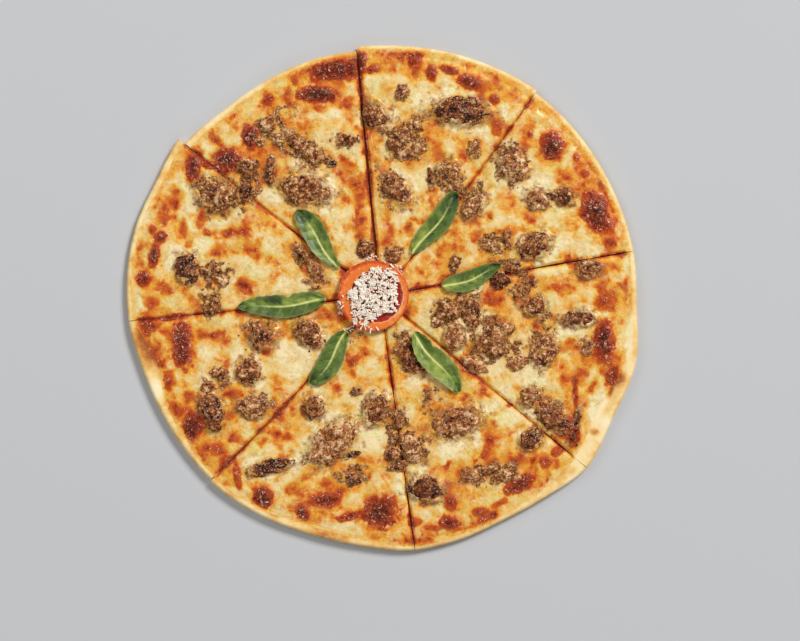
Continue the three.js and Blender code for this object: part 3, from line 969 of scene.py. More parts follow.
def fresh(name: str, add: Callable, **settings: object) -> Piece:
    """Adds a primitive at its size and place, with nothing else selected.

    Args:
        name: Its name.
        add: The operator that adds it.
        **settings: The operator's own settings.

    Returns:
        The primitive.
    """
    bpy.ops.object.select_all(action="DESELECT")
    add(**settings)
    piece = bpy.context.active_object
    piece.name = name
    piece.data.name = name
    return piece


def apply(piece: Piece, kind: str, **settings: object) -> None:
    """Adds a modifier to the piece and applies it.

    Args:
        piece: The piece.
        kind: The modifier's type.
        **settings: The modifier's own settings.
    """
    pick(piece)
    modifier = piece.modifiers.new(kind.title(), kind)
    for key, value in settings.items():
        setattr(modifier, key, value)
    bpy.ops.object.modifier_apply(modifier=modifier.name)


def smooth(piece: Piece, degrees: float = 60.0) -> None:
    """Shades the piece smooth up to an angle."""
    pick(piece)
    bpy.ops.object.shade_smooth_by_angle(angle=math.radians(degrees))


def slab(name: str, columns: int, rows: int, levels: int) -> Piece:
    """A closed slab to be shaped: its top spans 0 to 1, and each level of its wall is 1 lower.

    Args:
        name: The piece's name.
        columns: Faces across the top.
        rows: Faces along it.
        levels: Faces down the wall.

    Returns:
        The new piece, whose vertices still hold their place across, along and down.
    """
    grid = bpy.ops.mesh.primitive_grid_add
    piece = fresh(
        name, grid, x_subdivisions=columns, y_subdivisions=rows, size=1.0, location=(0.5, 0.5, 0.0)
    )
    bpy.ops.object.transform_apply(location=True)
    bpy.ops.object.mode_set(mode="EDIT")
    bpy.ops.mesh.select_mode(type="EDGE")
    bpy.ops.mesh.select_all(action="DESELECT")
    bpy.ops.mesh.select_non_manifold(
        use_wire=False, use_multi_face=False, use_non_contiguous=False, use_verts=False
    )
    for _ in range(levels):
        bpy.ops.mesh.extrude_edges_move(TRANSFORM_OT_translate={"value": (0, 0, -1)})
    bpy.ops.mesh.edge_face_add()
    bpy.ops.mesh.select_all(action="SELECT")
    bpy.ops.mesh.normals_make_consistent(inside=False)
    bpy.ops.object.mode_set(mode="OBJECT")
    return piece


def double_of(node: Piece, name: str) -> Piece:
    """A copy of a frame node with its loose triangles merged.

    Args:
        node: The frame's node, which stays as it is.
        name: The copy's name.

    Returns:
        The copy.
    """
    piece = node.copy()
    piece.data = node.data.copy()
    piece.name = name
    piece.data.name = name
    piece.parent = None
    piece.data.materials.clear()
    for key in [key for key in piece.keys() if key.startswith("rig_")]:
        del piece[key]
    bpy.context.scene.collection.objects.link(piece)
    piece.hide_render = False
    piece.hide_viewport = False
    pick(piece)
    bpy.ops.object.mode_set(mode="EDIT")
    bpy.ops.mesh.select_all(action="SELECT")
    bpy.ops.mesh.remove_doubles(threshold=1e-6)
    bpy.ops.object.mode_set(mode="OBJECT")
    return piece


def to_world(x: Array, y: Array, z: Array) -> Array:
    """Rows of metres from plan millimetres."""
    return np.stack([x + PLAN_SHIFT[0], y + PLAN_SHIFT[1], z], axis=1) * MM


# -------------------- finishes


def srgb(red: int, green: int, blue: int) -> Colour:
    """A colour given in screen values, as a shader takes it.

    Args:
        red: Red, from 0 to 255.
        green: Green.
        blue: Blue.

    Returns:
        The linear colour, with full opacity.
    """
    parts = (value / 255 for value in (red, green, blue))
    linear = [p / 12.92 if p <= 0.04045 else ((p + 0.055) / 1.055) ** 2.4 for p in parts]
    return (*linear, 1.0)


class Mixing(Enum):
    """How one colour goes over another."""

    MIX = "MIX"
    MULTIPLY = "MULTIPLY"
    OVERLAY = "OVERLAY"


class Recipe:
    """A material in the making: short calls for the nodes that the finishes need."""

    def __init__(self, name: str) -> None:
        """Starts a material with its shader.

        Args:
            name: The material's name.
        """
        self.material = bpy.data.materials.new(name)
        self.material.use_nodes = True
        self.tree = self.material.node_tree
        self.shader = self.tree.nodes["Principled BSDF"]
        self.place = self.tree.nodes.new("ShaderNodeTexCoord").outputs["Object"]

    def set(self, **values: object) -> None:
        """Sets the shader's own sockets, by their names with underscores for spaces."""
        for key, value in values.items():
            self.shader.inputs[key.replace("_", " ")].default_value = value

    def link(self, source: Socket, target: str) -> None:
        """Feeds one of the shader's sockets."""
        self.tree.links.new(source, self.shader.inputs[target])

    def feed(self, sockets: Iterable[Socket], values: Iterable) -> None:
        """Links each socket to its value, or sets it where that is a number or a colour.

        Args:
            sockets: Sockets of a node.
            values: A value for each, as long as there are any.
        """
        for socket, value in zip(sockets, values):
            if isinstance(value, Socket):
                self.tree.links.new(value, socket)
            else:
                socket.default_value = value

    def node(self, kind: str, **inputs: object) -> bpy.types.Node:
        """Adds a node.

        Args:
            kind: Its type, as it goes on after ShaderNode.
            **inputs: Values of its sockets, by their names with underscores for spaces.

        Returns:
            The node.
        """
        node = self.tree.nodes.new(f"ShaderNode{kind}")
        self.feed([node.inputs[key.replace("_", " ")] for key in inputs], inputs.values())
        return node

    def attribute(self, name: str) -> Socket:
        """A number that was written on the mesh."""
        node = self.node("Attribute")
        node.attribute_name = name
        return node.outputs["Fac"]

    def noise(
        self, size_mm: float, detail: float = 4.0, rough: float = 0.55, bend: float = 0.0
    ) -> Socket:
        """Noise in the object's own space.

        Args:
            size_mm: Length of the waves.
            detail: How many finer layers it has.
            rough: How strong they are.
            bend: How far the pattern is distorted.

        Returns:
            A number from 0 to 1.
        """
        scale = 1 / (size_mm * MM)
        settings = {"Scale": scale, "Detail": detail, "Roughness": rough, "Distortion": bend}
        return self.node("TexNoise", Vector=self.place, **settings).outputs["Fac"]

    def specks(self, size_mm: float, low: float, high: float) -> Socket:
        """Crisp specks of size_mm that reach from low to high."""
        return self.scaled(self.between(self.noise(size_mm, 4, 0.7, 0.4), 0.38, 0.62), low, high)

    def grains(self, size_mm: float) -> Socket:
        """Packed grains of size_mm: 0 at their middles, up to about 0.8 between them."""
        scale = 1 / (size_mm * MM)
        return self.node("TexVoronoi", Vector=self.place, Scale=scale).outputs["Distance"]

    def math(self, operation: str, *values: object, clamp: bool = False) -> Socket:
        """A sum or product of sockets and numbers.

        Args:
            operation: The node's operation.
            *values: Sockets or numbers.
            clamp: Whether the result is kept from 0 to 1.

        Returns:
            The result.
        """
        node = self.node("Math")
        node.operation = operation
        node.use_clamp = clamp
        self.feed(node.inputs, values)
        return node.outputs[0]

    def times(self, *values: object, clamp: bool = False) -> Socket:
        """The product of two sockets or numbers."""
        return self.math("MULTIPLY", *values, clamp=clamp)

    def plus(self, *values: object, clamp: bool = False) -> Socket:
        """The sum of two sockets or numbers."""
        return self.math("ADD", *values, clamp=clamp)

    def scaled(self, source: Socket, low: float, high: float) -> Socket:
        """Takes 0 to 1 to low to high."""
        return self.math("MULTIPLY_ADD", source, high - low, low)

    def between(self, source: Socket, low: float, high: float) -> Socket:
        """A soft step.

        Args:
            source: The number to read.
            low: Where the step starts.
            high: Where it ends.

        Returns:
            0 below low and 1 above high.
        """
        node = self.node("MapRange", Value=source, From_Min=low, From_Max=high)
        node.interpolation_type = "SMOOTHSTEP"
        return node.outputs["Result"]

    def ramp(self, source: Socket, stops: Sequence[Stop]) -> Socket:
        """Colours along a number.

        Args:
            source: The number, from 0 to 1.
            stops: Pairs of place and colour.

        Returns:
            The colour.
        """
        node = self.node("ValToRGB", Fac=source)
        elements = node.color_ramp.elements
        while len(elements) < len(stops):
            elements.new(0.5)
        for element, (place, colour) in zip(elements, stops):
            element.position = place
            element.color = colour
        return node.outputs["Color"]

    def over(
        self,
        share: Socket | float,
        below: Socket | Colour,
        above: Socket | Colour,
        way: Mixing = Mixing.MIX,
    ) -> Socket:
        """One colour over another.

        Args:
            share: How much of the upper colour shows.
            below: The lower colour.
            above: The upper colour.
            way: How they mix.

        Returns:
            The colour.
        """
        node = self.node("Mix")
        node.data_type = "RGBA"
        node.blend_type = way.value
        colours = [socket for socket in node.inputs if socket.type == "RGBA"]
        self.feed((node.inputs[0], *colours), (share, below, above))
        return next(socket for socket in node.outputs if socket.type == "RGBA")

    def bump(self, height: Socket, deep_mm: float, strength: float = 1.0) -> None:
        """Roughens the surface.

        Args:
            height: The height, from about 0 to 1.
            deep_mm: How deep a height of 1 is.
            strength: How strongly it shows.
        """
        node = self.node("Bump", Height=height, Strength=strength, Distance=deep_mm * MM)
        self.link(node.outputs["Normal"], "Normal")


MEAT_STOPS = (
    (0.00, srgb(32, 6, 2)),
    (0.22, srgb(80, 29, 6)),
    (0.44, srgb(130, 70, 31)),
    (0.64, srgb(174, 115, 64)),
    (0.82, srgb(218, 170, 112)),
    (1.00, srgb(250, 230, 200)),
)


def stepped(stops: Sequence[Stop], flat: float) -> list[Stop]:
    """Widens each stop of a ramp into a level stretch, which gives its patches crisper edges.

    Args:
        stops: Pairs of place and colour.
        flat: Half of a level stretch's length.

    Returns:
        The new stops.
    """
    wide = [(place, colour) for place, colour in stops for _ in range(2)]
    return [
        (min(max(place + (flat if i % 2 else -flat), 0.0), 1.0), colour)
        for i, (place, colour) in enumerate(wide)
    ]


@dataclass(frozen=True)
class CheeseFinish:
    """Melted cheese, from cream through orange to nearly black, with ground meat in it."""

    stops: tuple[Stop, ...] = (
        (0.00, srgb(243, 225, 178)),
        (0.12, srgb(234, 203, 140)),
        (0.25, srgb(233, 186, 100)),
        (0.38, srgb(229, 160, 58)),
        (0.50, srgb(214, 124, 40)),
        (0.60, srgb(197, 88, 30)),
        (0.70, srgb(170, 60, 16)),
        (0.80, srgb(134, 38, 9)),
        (0.90, srgb(90, 22, 5)),
        (1.00, srgb(50, 12, 6)),
    )
    juice: Colour = srgb(218, 176, 110)
    strand: Colour = srgb(248, 230, 188)
    stew: Colour = srgb(172, 118, 68)
    pit: Colour = srgb(104, 58, 30)
    # painted highlight: pinkish-white sparkles on the blisters
    painted_sparkle: Colour = srgb(250, 200, 166)
    oil: Colour = srgb(243, 255, 226)
    fleck: tuple[Colour, Colour] = (srgb(112, 104, 92), srgb(236, 234, 230))

    def make(self) -> Material:
        """Builds the material.

        Returns:
            The material.
        """
        r = Recipe("cheese")
        grain = r.noise(1.3, 4, 0.6, 0.3)
        toast = r.plus(r.attribute("toast"), r.specks(2.6, -0.03, 0.03))
        burnt = r.scaled(r.between(toast, 0.55, 0.72), 0.03, 0.08)
        toast = r.math("MULTIPLY_ADD", r.specks(1.2, -1.0, 1.0), burnt, toast, clamp=True)
        colour = r.ramp(toast, stepped(self.stops, 0.014))
        strand = r.math("ABSOLUTE", r.math("SUBTRACT", r.noise(13.0, 2, 0.5, 0.4), 0.5))
        strand = r.times(r.between(strand, 0.05, 0.0), r.specks(9.0, 0.0, 0.35))
        strand = r.times(strand, r.between(toast, 0.62, 0.45))
        colour = r.over(strand, colour, self.strand)
        damp = r.times(r.attribute("juice"), r.scaled(r.noise(2.4, 4, 0.6), 0.4, 1.1))
        colour = r.over(r.times(damp, 0.75, clamp=True), colour, self.juice, Mixing.MULTIPLY)
        # The meat's 1.1 mm specks are the same pattern as the bump's below, so its crumbs are lighter
        # where they stand up and darker in the dips, partly painted shade.
        tone = r.plus(r.specks(1.1, -0.26, 0.20), r.specks(3.6, -0.14, 0.16))
        tone = r.plus(tone, r.attribute("tone"), clamp=True)
        crumbs = r.ramp(tone, MEAT_STOPS)
        share = r.plus(r.attribute("meat"), r.specks(4.0, -0.18, 0.18))
        stewed = r.times(r.between(share, 0.0, 0.55), r.specks(2.2, 0.5, 0.95))
        colour = r.over(stewed, colour, self.stew)
        pits = r.times(r.between(r.noise(1.7, 4, 0.7, 0.6), 0.53, 0.64), stewed)
        colour = r.over(pits, colour, self.pit)
        share = r.between(r.plus(share, r.specks(1.4, -0.14, 0.14)), 0.42, 0.80)
        colour = r.over(share, colour, crumbs)
        fleck = r.ramp(r.noise(1.2, 5, 0.8), ((0.36, self.fleck[0]), (0.64, self.fleck[1])))
        oily = r.between(r.noise(11.0, 3, 0.55, 0.8), 0.50, 0.58)
        colour = r.over(r.times(oily, 0.5), colour, self.oil, Mixing.MULTIPLY)
        flecked = r.scaled(r.between(toast, 0.10, 0.35), 0.22, 0.55)
        colour = r.over(flecked, colour, fleck, Mixing.OVERLAY)
        # Painted highlights: pinkish-white sparkles in clusters on the blisters and the darker browned
        # spots.
        painted_sparkle = r.between(r.noise(1.8, 4, 0.7, 1.2), 0.55, 0.63)
        painted_sparkle = r.times(painted_sparkle, r.specks(6.0, 0.05, 0.95))
        painted_sparkle = r.times(painted_sparkle, r.between(toast, 0.60, 0.76))
        r.link(r.over(painted_sparkle, colour, self.painted_sparkle), "Base Color")
        shine = r.times(r.attribute("gloss"), r.scaled(r.noise(2.2, 3), 0.6, 1.2))
        r.link(r.scaled(shine, 0.56, 0.26), "Roughness")
        r.link(r.scaled(shine, 0.0, 0.5), "Coat Weight")
        r.set(Specular_IOR_Level=0.15, Coat_Roughness=0.12)
        r.set(Subsurface_Weight=0.05, Subsurface_Scale=0.8 * MM)
        height = r.plus(r.times(grain, 0.4), r.times(r.noise(0.5, 3), 0.15))
        height = r.plus(height, r.times(share, r.specks(1.1, 0.0, 0.9)))
        r.bump(height, 0.50, 0.8)
        return r.material


@dataclass(frozen=True)
class DoughFinish:
    """Baked dough, pale and floury, toasted in places."""

    stops: tuple[Stop, ...] = (
        (0.00, srgb(250, 232, 188)),
        (0.30, srgb(244, 214, 150)),
        (0.50, srgb(232, 184, 104)),
        (0.70, srgb(206, 134, 58)),
        (0.85, srgb(160, 86, 34)),
        (1.00, srgb(156, 66, 28)),
    )
    flour: Colour = srgb(252, 244, 222)

    def make(self) -> Material:
        """Builds the material.

        Returns:
            The material.
        """
        r = Recipe("dough")
        blot = r.noise(7.0, 5, 0.6, 0.6)
        grain = r.noise(0.9, 4, 0.6)
        toast = r.plus(r.attribute("toast"), r.scaled(blot, -0.20, 0.20))
        toast = r.plus(toast, r.scaled(grain, -0.06, 0.06), clamp=True)
        colour = r.ramp(toast, self.stops)
        dust = r.between(r.noise(2.6, 6, 0.7), 0.52, 0.75)
        colour = r.over(r.times(dust, 0.45), colour, self.flour)
        r.link(colour, "Base Color")
        r.set(Roughness=0.78, Specular_IOR_Level=0.3)
        r.set(Subsurface_Weight=0.06, Subsurface_Scale=1.0 * MM)
        r.bump(r.plus(r.times(grain, 0.5), r.noise(2.8, 5, 0.6)), 0.35, 0.7)
        return r.material


@dataclass(frozen=True)
class MeatFinish:
    """Roasted meat, cheese in places: its tone is darker in its crevices and lighter on its grains as
    painted shade, with painted glints.
    """

    cheese: Colour = srgb(226, 178, 108)
    veil: Colour = srgb(194, 142, 86)
    rosy: Colour = srgb(255, 222, 208)
    olive: Colour = srgb(246, 238, 200)
    fat: Colour = srgb(160, 94, 48)
    # painted highlight: pale glints on the meat
    painted_glint: Colour = srgb(244, 220, 190)

    def make(self) -> Material:
        """Builds the material.

        Returns:
            The material.
        """
        r = Recipe("meat")
        grains = r.grains(1.6)
        clump = r.specks(4.5, 0.0, 1.0)
        shred = r.between(r.noise(2.8, 5, 0.70, 0.5), 0.38, 0.63)
        # The tone follows the bump below: darker between the grains and in the dips of the clumps and
        # shreds, lighter on their tops, as painted shade.
        tone = r.plus(r.attribute("tone"), r.scaled(grains, 0.06, -0.10))
        tone = r.plus(tone, r.scaled(clump, -0.12, 0.12))
        tone = r.plus(tone, r.scaled(shred, -0.28, 0.19))
        tone = r.plus(tone, r.specks(1.3, -0.12, 0.12), clamp=True)
        colour = r.ramp(tone, MEAT_STOPS)
        tint = r.over(r.specks(6.0, 0.0, 1.0), self.rosy, self.olive)
        colour = r.over(0.7, colour, tint, Mixing.MULTIPLY)
        fat = r.between(r.noise(7.0, 4, 0.6, 0.8), 0.52, 0.64)
        fat = r.times(fat, r.specks(1.4, 0.2, 0.7))
        colour = r.over(fat, colour, self.fat)
        film = r.plus(r.attribute("film"), r.specks(2.6, -0.20, 0.20))
        veil = r.ramp(film, ((0.45, self.veil), (0.95, self.cheese)))
        film = r.times(r.between(film, 0.20, 0.75), r.specks(1.4, 0.45, 0.95))
        colour = r.over(film, colour, veil)
        # Painted highlights: small pale glints in clusters over the meat.
        painted_glint = r.between(r.noise(1.2, 3, 0.7), 0.56, 0.65)
        painted_glint = r.times(painted_glint, r.specks(5.0, 0.05, 0.9))
        r.link(r.over(painted_glint, colour, self.painted_glint), "Base Color")
        r.link(r.scaled(clump, 0.55, 0.30), "Roughness")
        r.set(Specular_IOR_Level=0.12, Coat_Weight=0.10, Coat_Roughness=0.15)
        height = r.math("SUBTRACT", r.times(clump, 0.4), r.times(grains, 0.4))
        r.bump(r.plus(height, r.times(shred, 0.7)), 0.5, 0.9)
        return r.material


@dataclass(frozen=True)
class LeafFinish:
    """A fresh mint leaf: green between paler veins, with a dull sheen."""

    shade: Colour = srgb(34, 56, 14)
    blade: Colour = srgb(88, 110, 36)
    bright: Colour = srgb(160, 174, 76)
    vein: Colour = srgb(216, 218, 128)

    def make(self) -> Material:
        """Builds the material.

        Returns:
            The material.
        """
        r = Recipe("mint")
        mottle = r.noise(2.6, 5, 0.6)
        tone = r.plus(r.attribute("tone"), r.scaled(mottle, -0.26, 0.26), clamp=True)
        colour = r.ramp(tone, ((0.0, self.shade), (0.5, self.blade), (1.0, self.bright)))
        colour = r.over(r.attribute("vein"), colour, self.vein)
        r.link(colour, "Base Color")
        r.link(r.scaled(mottle, 0.34, 0.52), "Roughness")
        r.set(Specular_IOR_Level=0.45, Subsurface_Weight=0.06, Subsurface_Scale=0.6 * MM)
        r.bump(r.noise(0.6, 4, 0.6), 0.10, 0.6)
        return r.material


@dataclass(frozen=True)
class TomatoFinish:
    """Wet tomato flesh: orange at the rim, deep red in the seed bed."""

    skin: Colour = srgb(200, 62, 22)
    flesh: Colour = srgb(230, 120, 48)
    inner: Colour = srgb(248, 176, 104)
    core: Colour = srgb(160, 30, 14)
    seed: Colour = srgb(206, 116, 84)

    def make(self) -> Material:
        """Builds the material.

        Returns:
            The material.
        """
        r = Recipe("tomato")
        depth = r.plus(r.attribute("core"), r.scaled(r.noise(4.0, 5, 0.66), -0.24, 0.24))
        stops = (
            (0.00, self.skin),
            (0.34, self.flesh),
            (0.54, self.flesh),
            (0.66, self.inner),
            (0.80, self.core),
        )
        colour = r.ramp(r.math("MAXIMUM", depth, 0.0, clamp=True), stops)
        streak = r.between(r.noise(2.2, 4, 0.7, 1.0), 0.52, 0.66)
        streak = r.times(streak, r.between(depth, 0.7, 0.3))
        colour = r.over(r.times(streak, 0.65), colour, self.inner)
        pips = r.times(r.between(r.noise(1.5, 3), 0.58, 0.70), r.between(depth, 0.75, 0.9))
        r.link(r.over(r.times(pips, 0.7), colour, self.seed), "Base Color")
        r.set(Roughness=0.30, Specular_IOR_Level=0.45, Coat_Weight=0.3, Coat_Roughness=0.10)
        r.set(Subsurface_Weight=0.18, Subsurface_Scale=1.5 * MM)
        r.bump(r.noise(1.2, 4, 0.6), 0.15, 0.5)
        return r.material


@dataclass(frozen=True)
class GratedFinish:
    """Dry grated white cheese."""

    light: Colour = srgb(255, 250, 240)
    shade: Colour = srgb(244, 222, 196)
    stained: Colour = srgb(240, 178, 146)

    def make(self) -> Material:
        """Builds the material.

        Returns:
            The material.
        """
        r = Recipe("grated_cheese")
        colour = r.over(r.between(r.noise(0.8, 3), 0.35, 0.65), self.light, self.shade)
        stain = r.times(r.between(r.noise(3.0, 4, 0.7), 0.53, 0.64), 0.65)
        r.link(r.over(stain, colour, self.stained), "Base Color")
        r.set(Roughness=0.6, Specular_IOR_Level=0.35, Subsurface_Weight=0.1, Subsurface_Scale=0.6 * MM)
        r.bump(r.noise(0.3, 3), 0.06, 0.6)
        return r.material


@dataclass(frozen=True)
class FloorFinish:
    """The plain pale floor."""

    colour: Colour = srgb(193, 194, 196)

    def make(self) -> Material:
        """Builds the material.

        Returns:
            The material.
        """
        r = Recipe("floor")
        r.set(Base_Color=self.colour, Roughness=0.85, Specular_IOR_Level=0.2)
        return r.material


def dress(piece: Piece, material: Material, node: str = "") -> None:
    """Gives the piece its material, its body and its node, and reports it.

    Args:
        piece: The piece.
        material: Its material.
        node: Name of the frame node that it replaces, where there is one.
    """
    piece.data.materials.clear()
    piece.data.materials.append(material)
    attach(piece, BODY)
    if node:
        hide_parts(node)
    LOG.info("%s: %d faces", piece.name, len(piece.data.polygons))


# -------------------- dough


@dataclass
class Dough:
    """The dough of the eight slices, each with its lip.

    Attributes:
        plan: The plan of the slices.
        heights: The frame's heights.
        columns: Faces across a slice.
        rows: Faces along it.
        levels: Shares of the height at which its wall has edges.
        undercut: How far in from the rim each of these is.
        grain: Unevenness of the lip and its colours.
    """

    plan: Plan
    heights: Heights
    columns: int = 170
    rows: int = 48
    levels: tuple[float, ...] = (1.0, 0.78, 0.5, 0.25, 0.08, 0.0)
    undercut: tuple[float, ...] = (0.0, 0.02, 0.12, 0.5, 1.2, 2.4)
    grain: Noise = field(default_factory=lambda: Noise(21))

    def crown(self, inset: Array, lip: Array, points: Array) -> Array:
        """Height of the lip as it would run on under the cheese.

        Args:
            inset: Distance in from the rim.
            lip: The lip's width there.
            points: Plan points.

        Returns:
            The heights.
        """
        h = self.heights
        round_up = np.sqrt(np.clip(1 - (1 - np.clip(inset / 2.1, 0, 1)) ** 2, 0, 1))
        crown = h.equator + (h.lip - 0.15 - h.equator) * round_up
        crown -= 0.5 * ease(1.9, 9.0, inset) * (inset < lip + 1)
        crown += 0.22 * self.grain.layers(points, 6.0, 4, 0.55)
        bubble = Spot(157, 352, 34, 46, 10).away(*points.T)
        return crown + 0.5 * np.exp(-1.4 * bubble**2)

    def top(self, inset: Array, lip: Array, points: Array) -> Array:
        """Height of the dough's upper side, by the distance in from the rim."""
        return mix(self.crown(inset, lip, points), self.heights.dough, ease(0.4, 2.0, inset - lip))

    def side(self, cut: Cut, share: Array) -> Array:
        """Clearance of the dough from a cut, least where the slices still touch."""
        return mix(0.06, 0.3 * cut.gap, ease(0.955, 1.0, share))

    def shape(self, number: int) -> Piece:
        """Builds one slice's dough.

        Args:
            number: The slice's number, from 0.

        Returns:
            The piece.
        """
        piece = slab(f"baked_dough_{number + 1:02d}", self.columns, self.rows, len(self.levels) - 1)
        across, along, down = vertices(piece).T
        across = 1 - across  # u runs anticlockwise
        level = np.rint(-down).astype(int)
        share = mix(self.plan.tip, 1.0, 1 - (1 - along) ** 1.9)
        u, _ = self.plan.between(number, across, share, self.side)
        under = np.array(self.undercut)[level]
        x, y, inset = self.plan.spot(number, u, share, under)
        _, _, lip = self.plan.rim(number, u)
        points = np.stack([x, y], axis=1)
        z = self.top(inset - under, lip, points) * np.array(self.levels)[level]
        put(piece, to_world(x, y, z))
        self.brown(piece, points, inset, lip, z)
        smooth(piece)
        return piece

    def brown(self, piece: Piece, points: Array, inset: Array, lip: Array, z: Array) -> None:
        """Writes how toasted the dough is.

        Args:
            piece: The slice's dough.
            points: Plan points.
            inset: Distance in from the rim.
            lip: The lip's width there.
            z: Heights.
        """
        wave = self.grain.layers(points, 11.0, 4, 0.6)
        toast = 0.39 + 0.26 * wave + 0.10 * self.grain.layers(points, 3.4, 3)
        toast = np.minimum(toast + 0.60 * crust_tone(points, wave), 0.84)
        toast += 0.18 * ease(-2.4, 0.6, inset - lip + 1.2 * wave)
        # Under the cheese the dough turns dark brown; it shows only in the cut gaps, as their painted
        # shade.
        toast = mix(toast, 1.0, ease(2.0, 4.0, inset - lip))
        toast = np.where(z < 0.2, 0.42 + 0.3 * wave, toast)
        note(piece, "toast", np.clip(toast, 0, 1))

    def build(self, material: Material) -> None:
        """Builds and dresses every slice's dough."""
        for number in range(len(self.plan.cuts)):
            dress(self.shape(number), material, f"dough_{number + 1:02d}")


# -------------------- cheese


@dataclass
class Cheese:
    """The slabs of melted cheese on the slices.

    Attributes:
        plan: The plan of the slices.
        heights: The frame's heights.
        melt: The look of the cheese's top.
        dough: The dough below.
        columns: Faces across a slab.
        rows: Faces along it.
        levels: Faces down its wall.
        spill: How far the cheese reaches out on the lip.
        edge_noise: Unevenness of its outer edge.
    """

    plan: Plan
    heights: Heights
    melt: MeltedCheese
    dough: Dough
    columns: int = 200
    rows: int = 244
    levels: int = 4
    spill: float = 2.0
    edge_noise: Noise = field(default_factory=lambda: Noise(33))

    def side(self, cut: Cut, share: Array) -> Array:
        """Clearance of the cheese from a cut.

        Args:
            cut: The cut.
            share: Share of the way out.

        Returns:
            The clearance, less where the cheese ran together again.
        """
        opened = through(cut.open, share)
        wobble = 0.3 * np.sin(23 * share + cut.turn) + 0.14 * np.sin(71 * share + 2 * cut.turn)
        return np.maximum(0.08, cut.gap / 2 * (opened + wobble))

    def shape(self, number: int) -> Piece:
        """Builds one slice's cheese.

        Args:
            number: The slice's number, from 0.

        Returns:
            The piece.
        """
        plan, h = self.plan, self.heights
        piece = slab(f"melted_cheese_{number + 1:02d}", self.columns, self.rows, self.levels)
        across, along, down = vertices(piece).T
        across = 1 - across  # u runs anticlockwise
        level = np.rint(-down)
        share = mix(plan.tip, 1.0, 1 - (1 - along) ** 1.12)
        u, width = plan.between(number, across, share, self.side)
        _, _, lip = plan.rim(number, u)
        x, y, inset = plan.spot(number, u, share, np.maximum(lip - self.spill, 0.9))
        points = np.stack([x, y], axis=1)
        cut = np.minimum(across, 1 - across) * width
        surface = self.melt.at(points, inset - lip, cut)
        ragged = 1.1 * self.edge_noise.layers(points, 5.0, 4, 0.6)
        ragged *= 1 - ease(-0.9, 0.3, inset - lip)
        film = 0.18 * np.tanh((inset - lip + 0.8 + ragged) / 1.3)
        crown = self.dough.crown(inset, lip, points)
        z = mix(crown + film, surface.z, ease(-0.5, 5.0, inset - lip))
        z = mix(z, h.cheese_bottom - 0.25, level / self.levels)
        put(piece, to_world(x, y, z))
        # The cheese's walls along the cuts are painted dark brown, painted shade of the cut gaps.
        wall = (level > 0) & (np.minimum(across, 1 - across) < 1e-3)
        note(piece, "toast", np.where(wall, 0.78, surface.toast))
        note(piece, "meat", np.where(wall, 0.0, surface.meat))
        note(piece, "tone", surface.tone)
        note(piece, "juice", surface.juice)
        note(piece, "gloss", np.where(wall, 0.0, surface.gloss))
        smooth(piece)
        return piece

    def build(self, material: Material) -> None:
        """Builds and dresses every slice's cheese."""
        for number in range(len(self.plan.cuts)):
            dress(self.shape(number), material, f"cheese_{number + 1:02d}")


# -------------------- meat


class Tone(Enum):
    """How dark a piece of meat is, as the middle of its colours."""

    DARK = 0.33
    DIM = 0.43
    BROWN = 0.52
    LIGHT = 0.61
    PALE = 0.71


class Granules:
    """The granular look of ground and roasted meat."""

    def __init__(self, seed: int) -> None:
        """Seeds the noises."""
        self.clump = Noise(seed, 3)
        self.grain = Noise(seed + 1, 3)
        self.cover = Noise(seed + 2, 3)

    def ruffle(self, piece: Piece, far: float) -> None:
        """Makes the piece's outline uneven.

        Args:
            piece: The piece.
            far: How far the outline moves, in millimetres.
        """
        points = vertices(piece) / MM
        for axis, clump in enumerate((self.clump, self.cover)):
            points[:, axis] += far * clump.layers(points + 31.0, 7.0, 3, 0.6)
        put(piece, points * MM)

    def press(self, piece: Piece, tone: Array | float, deep: float, under: float) -> None:
        """Pushes grains out of a smooth piece and notes its colours.

        Args:
            piece: The piece, dense enough to hold grains.
            tone: Middle tone, one for all or one for each vertex.
            deep: Size of the relief against the usual.
            under: How far the faces that look down are sunk, in millimetres.
        """
        points = vertices(piece) / MM
        normals = np.empty(3 * len(piece.data.vertices))
        piece.data.vertices.foreach_get("normal", normals)
        normals = normals.reshape(-1, 3)
        lumps = self.clump.layers(points, 5.0, 3, 0.55)
        flakes = 1 - 2 * np.abs(self.grain.layers(points, 2.6, 3, 0.6))
        below = ease(-0.2, 0.5, -normals[:, 2])
        push = deep * (1.0 * lumps + 0.35 * flakes - 0.1) * (1 - below)
        points += normals * push[:, None]
        points[:, 2] -= under * below
        put(piece, points * MM)
        # The tone follows the push: lighter where the relief stands out and darker where it sinks, partly
        # the meat's own mottling and partly painted shade.
        note(piece, "tone", np.clip(tone + 0.46 * lumps + 0.08 * (flakes - 0.3), 0, 1))
        high = points[:, 2] - Heights.cheese
        cover = 0.9 * self.cover.layers(points, 7.0, 3, 0.6) + 0.45 * (0.5 - normals[:, 2])
        note(piece, "film", ease(-0.1, 0.6, cover + 0.34 * (1.8 - high)))
        smooth(piece, 80.0)


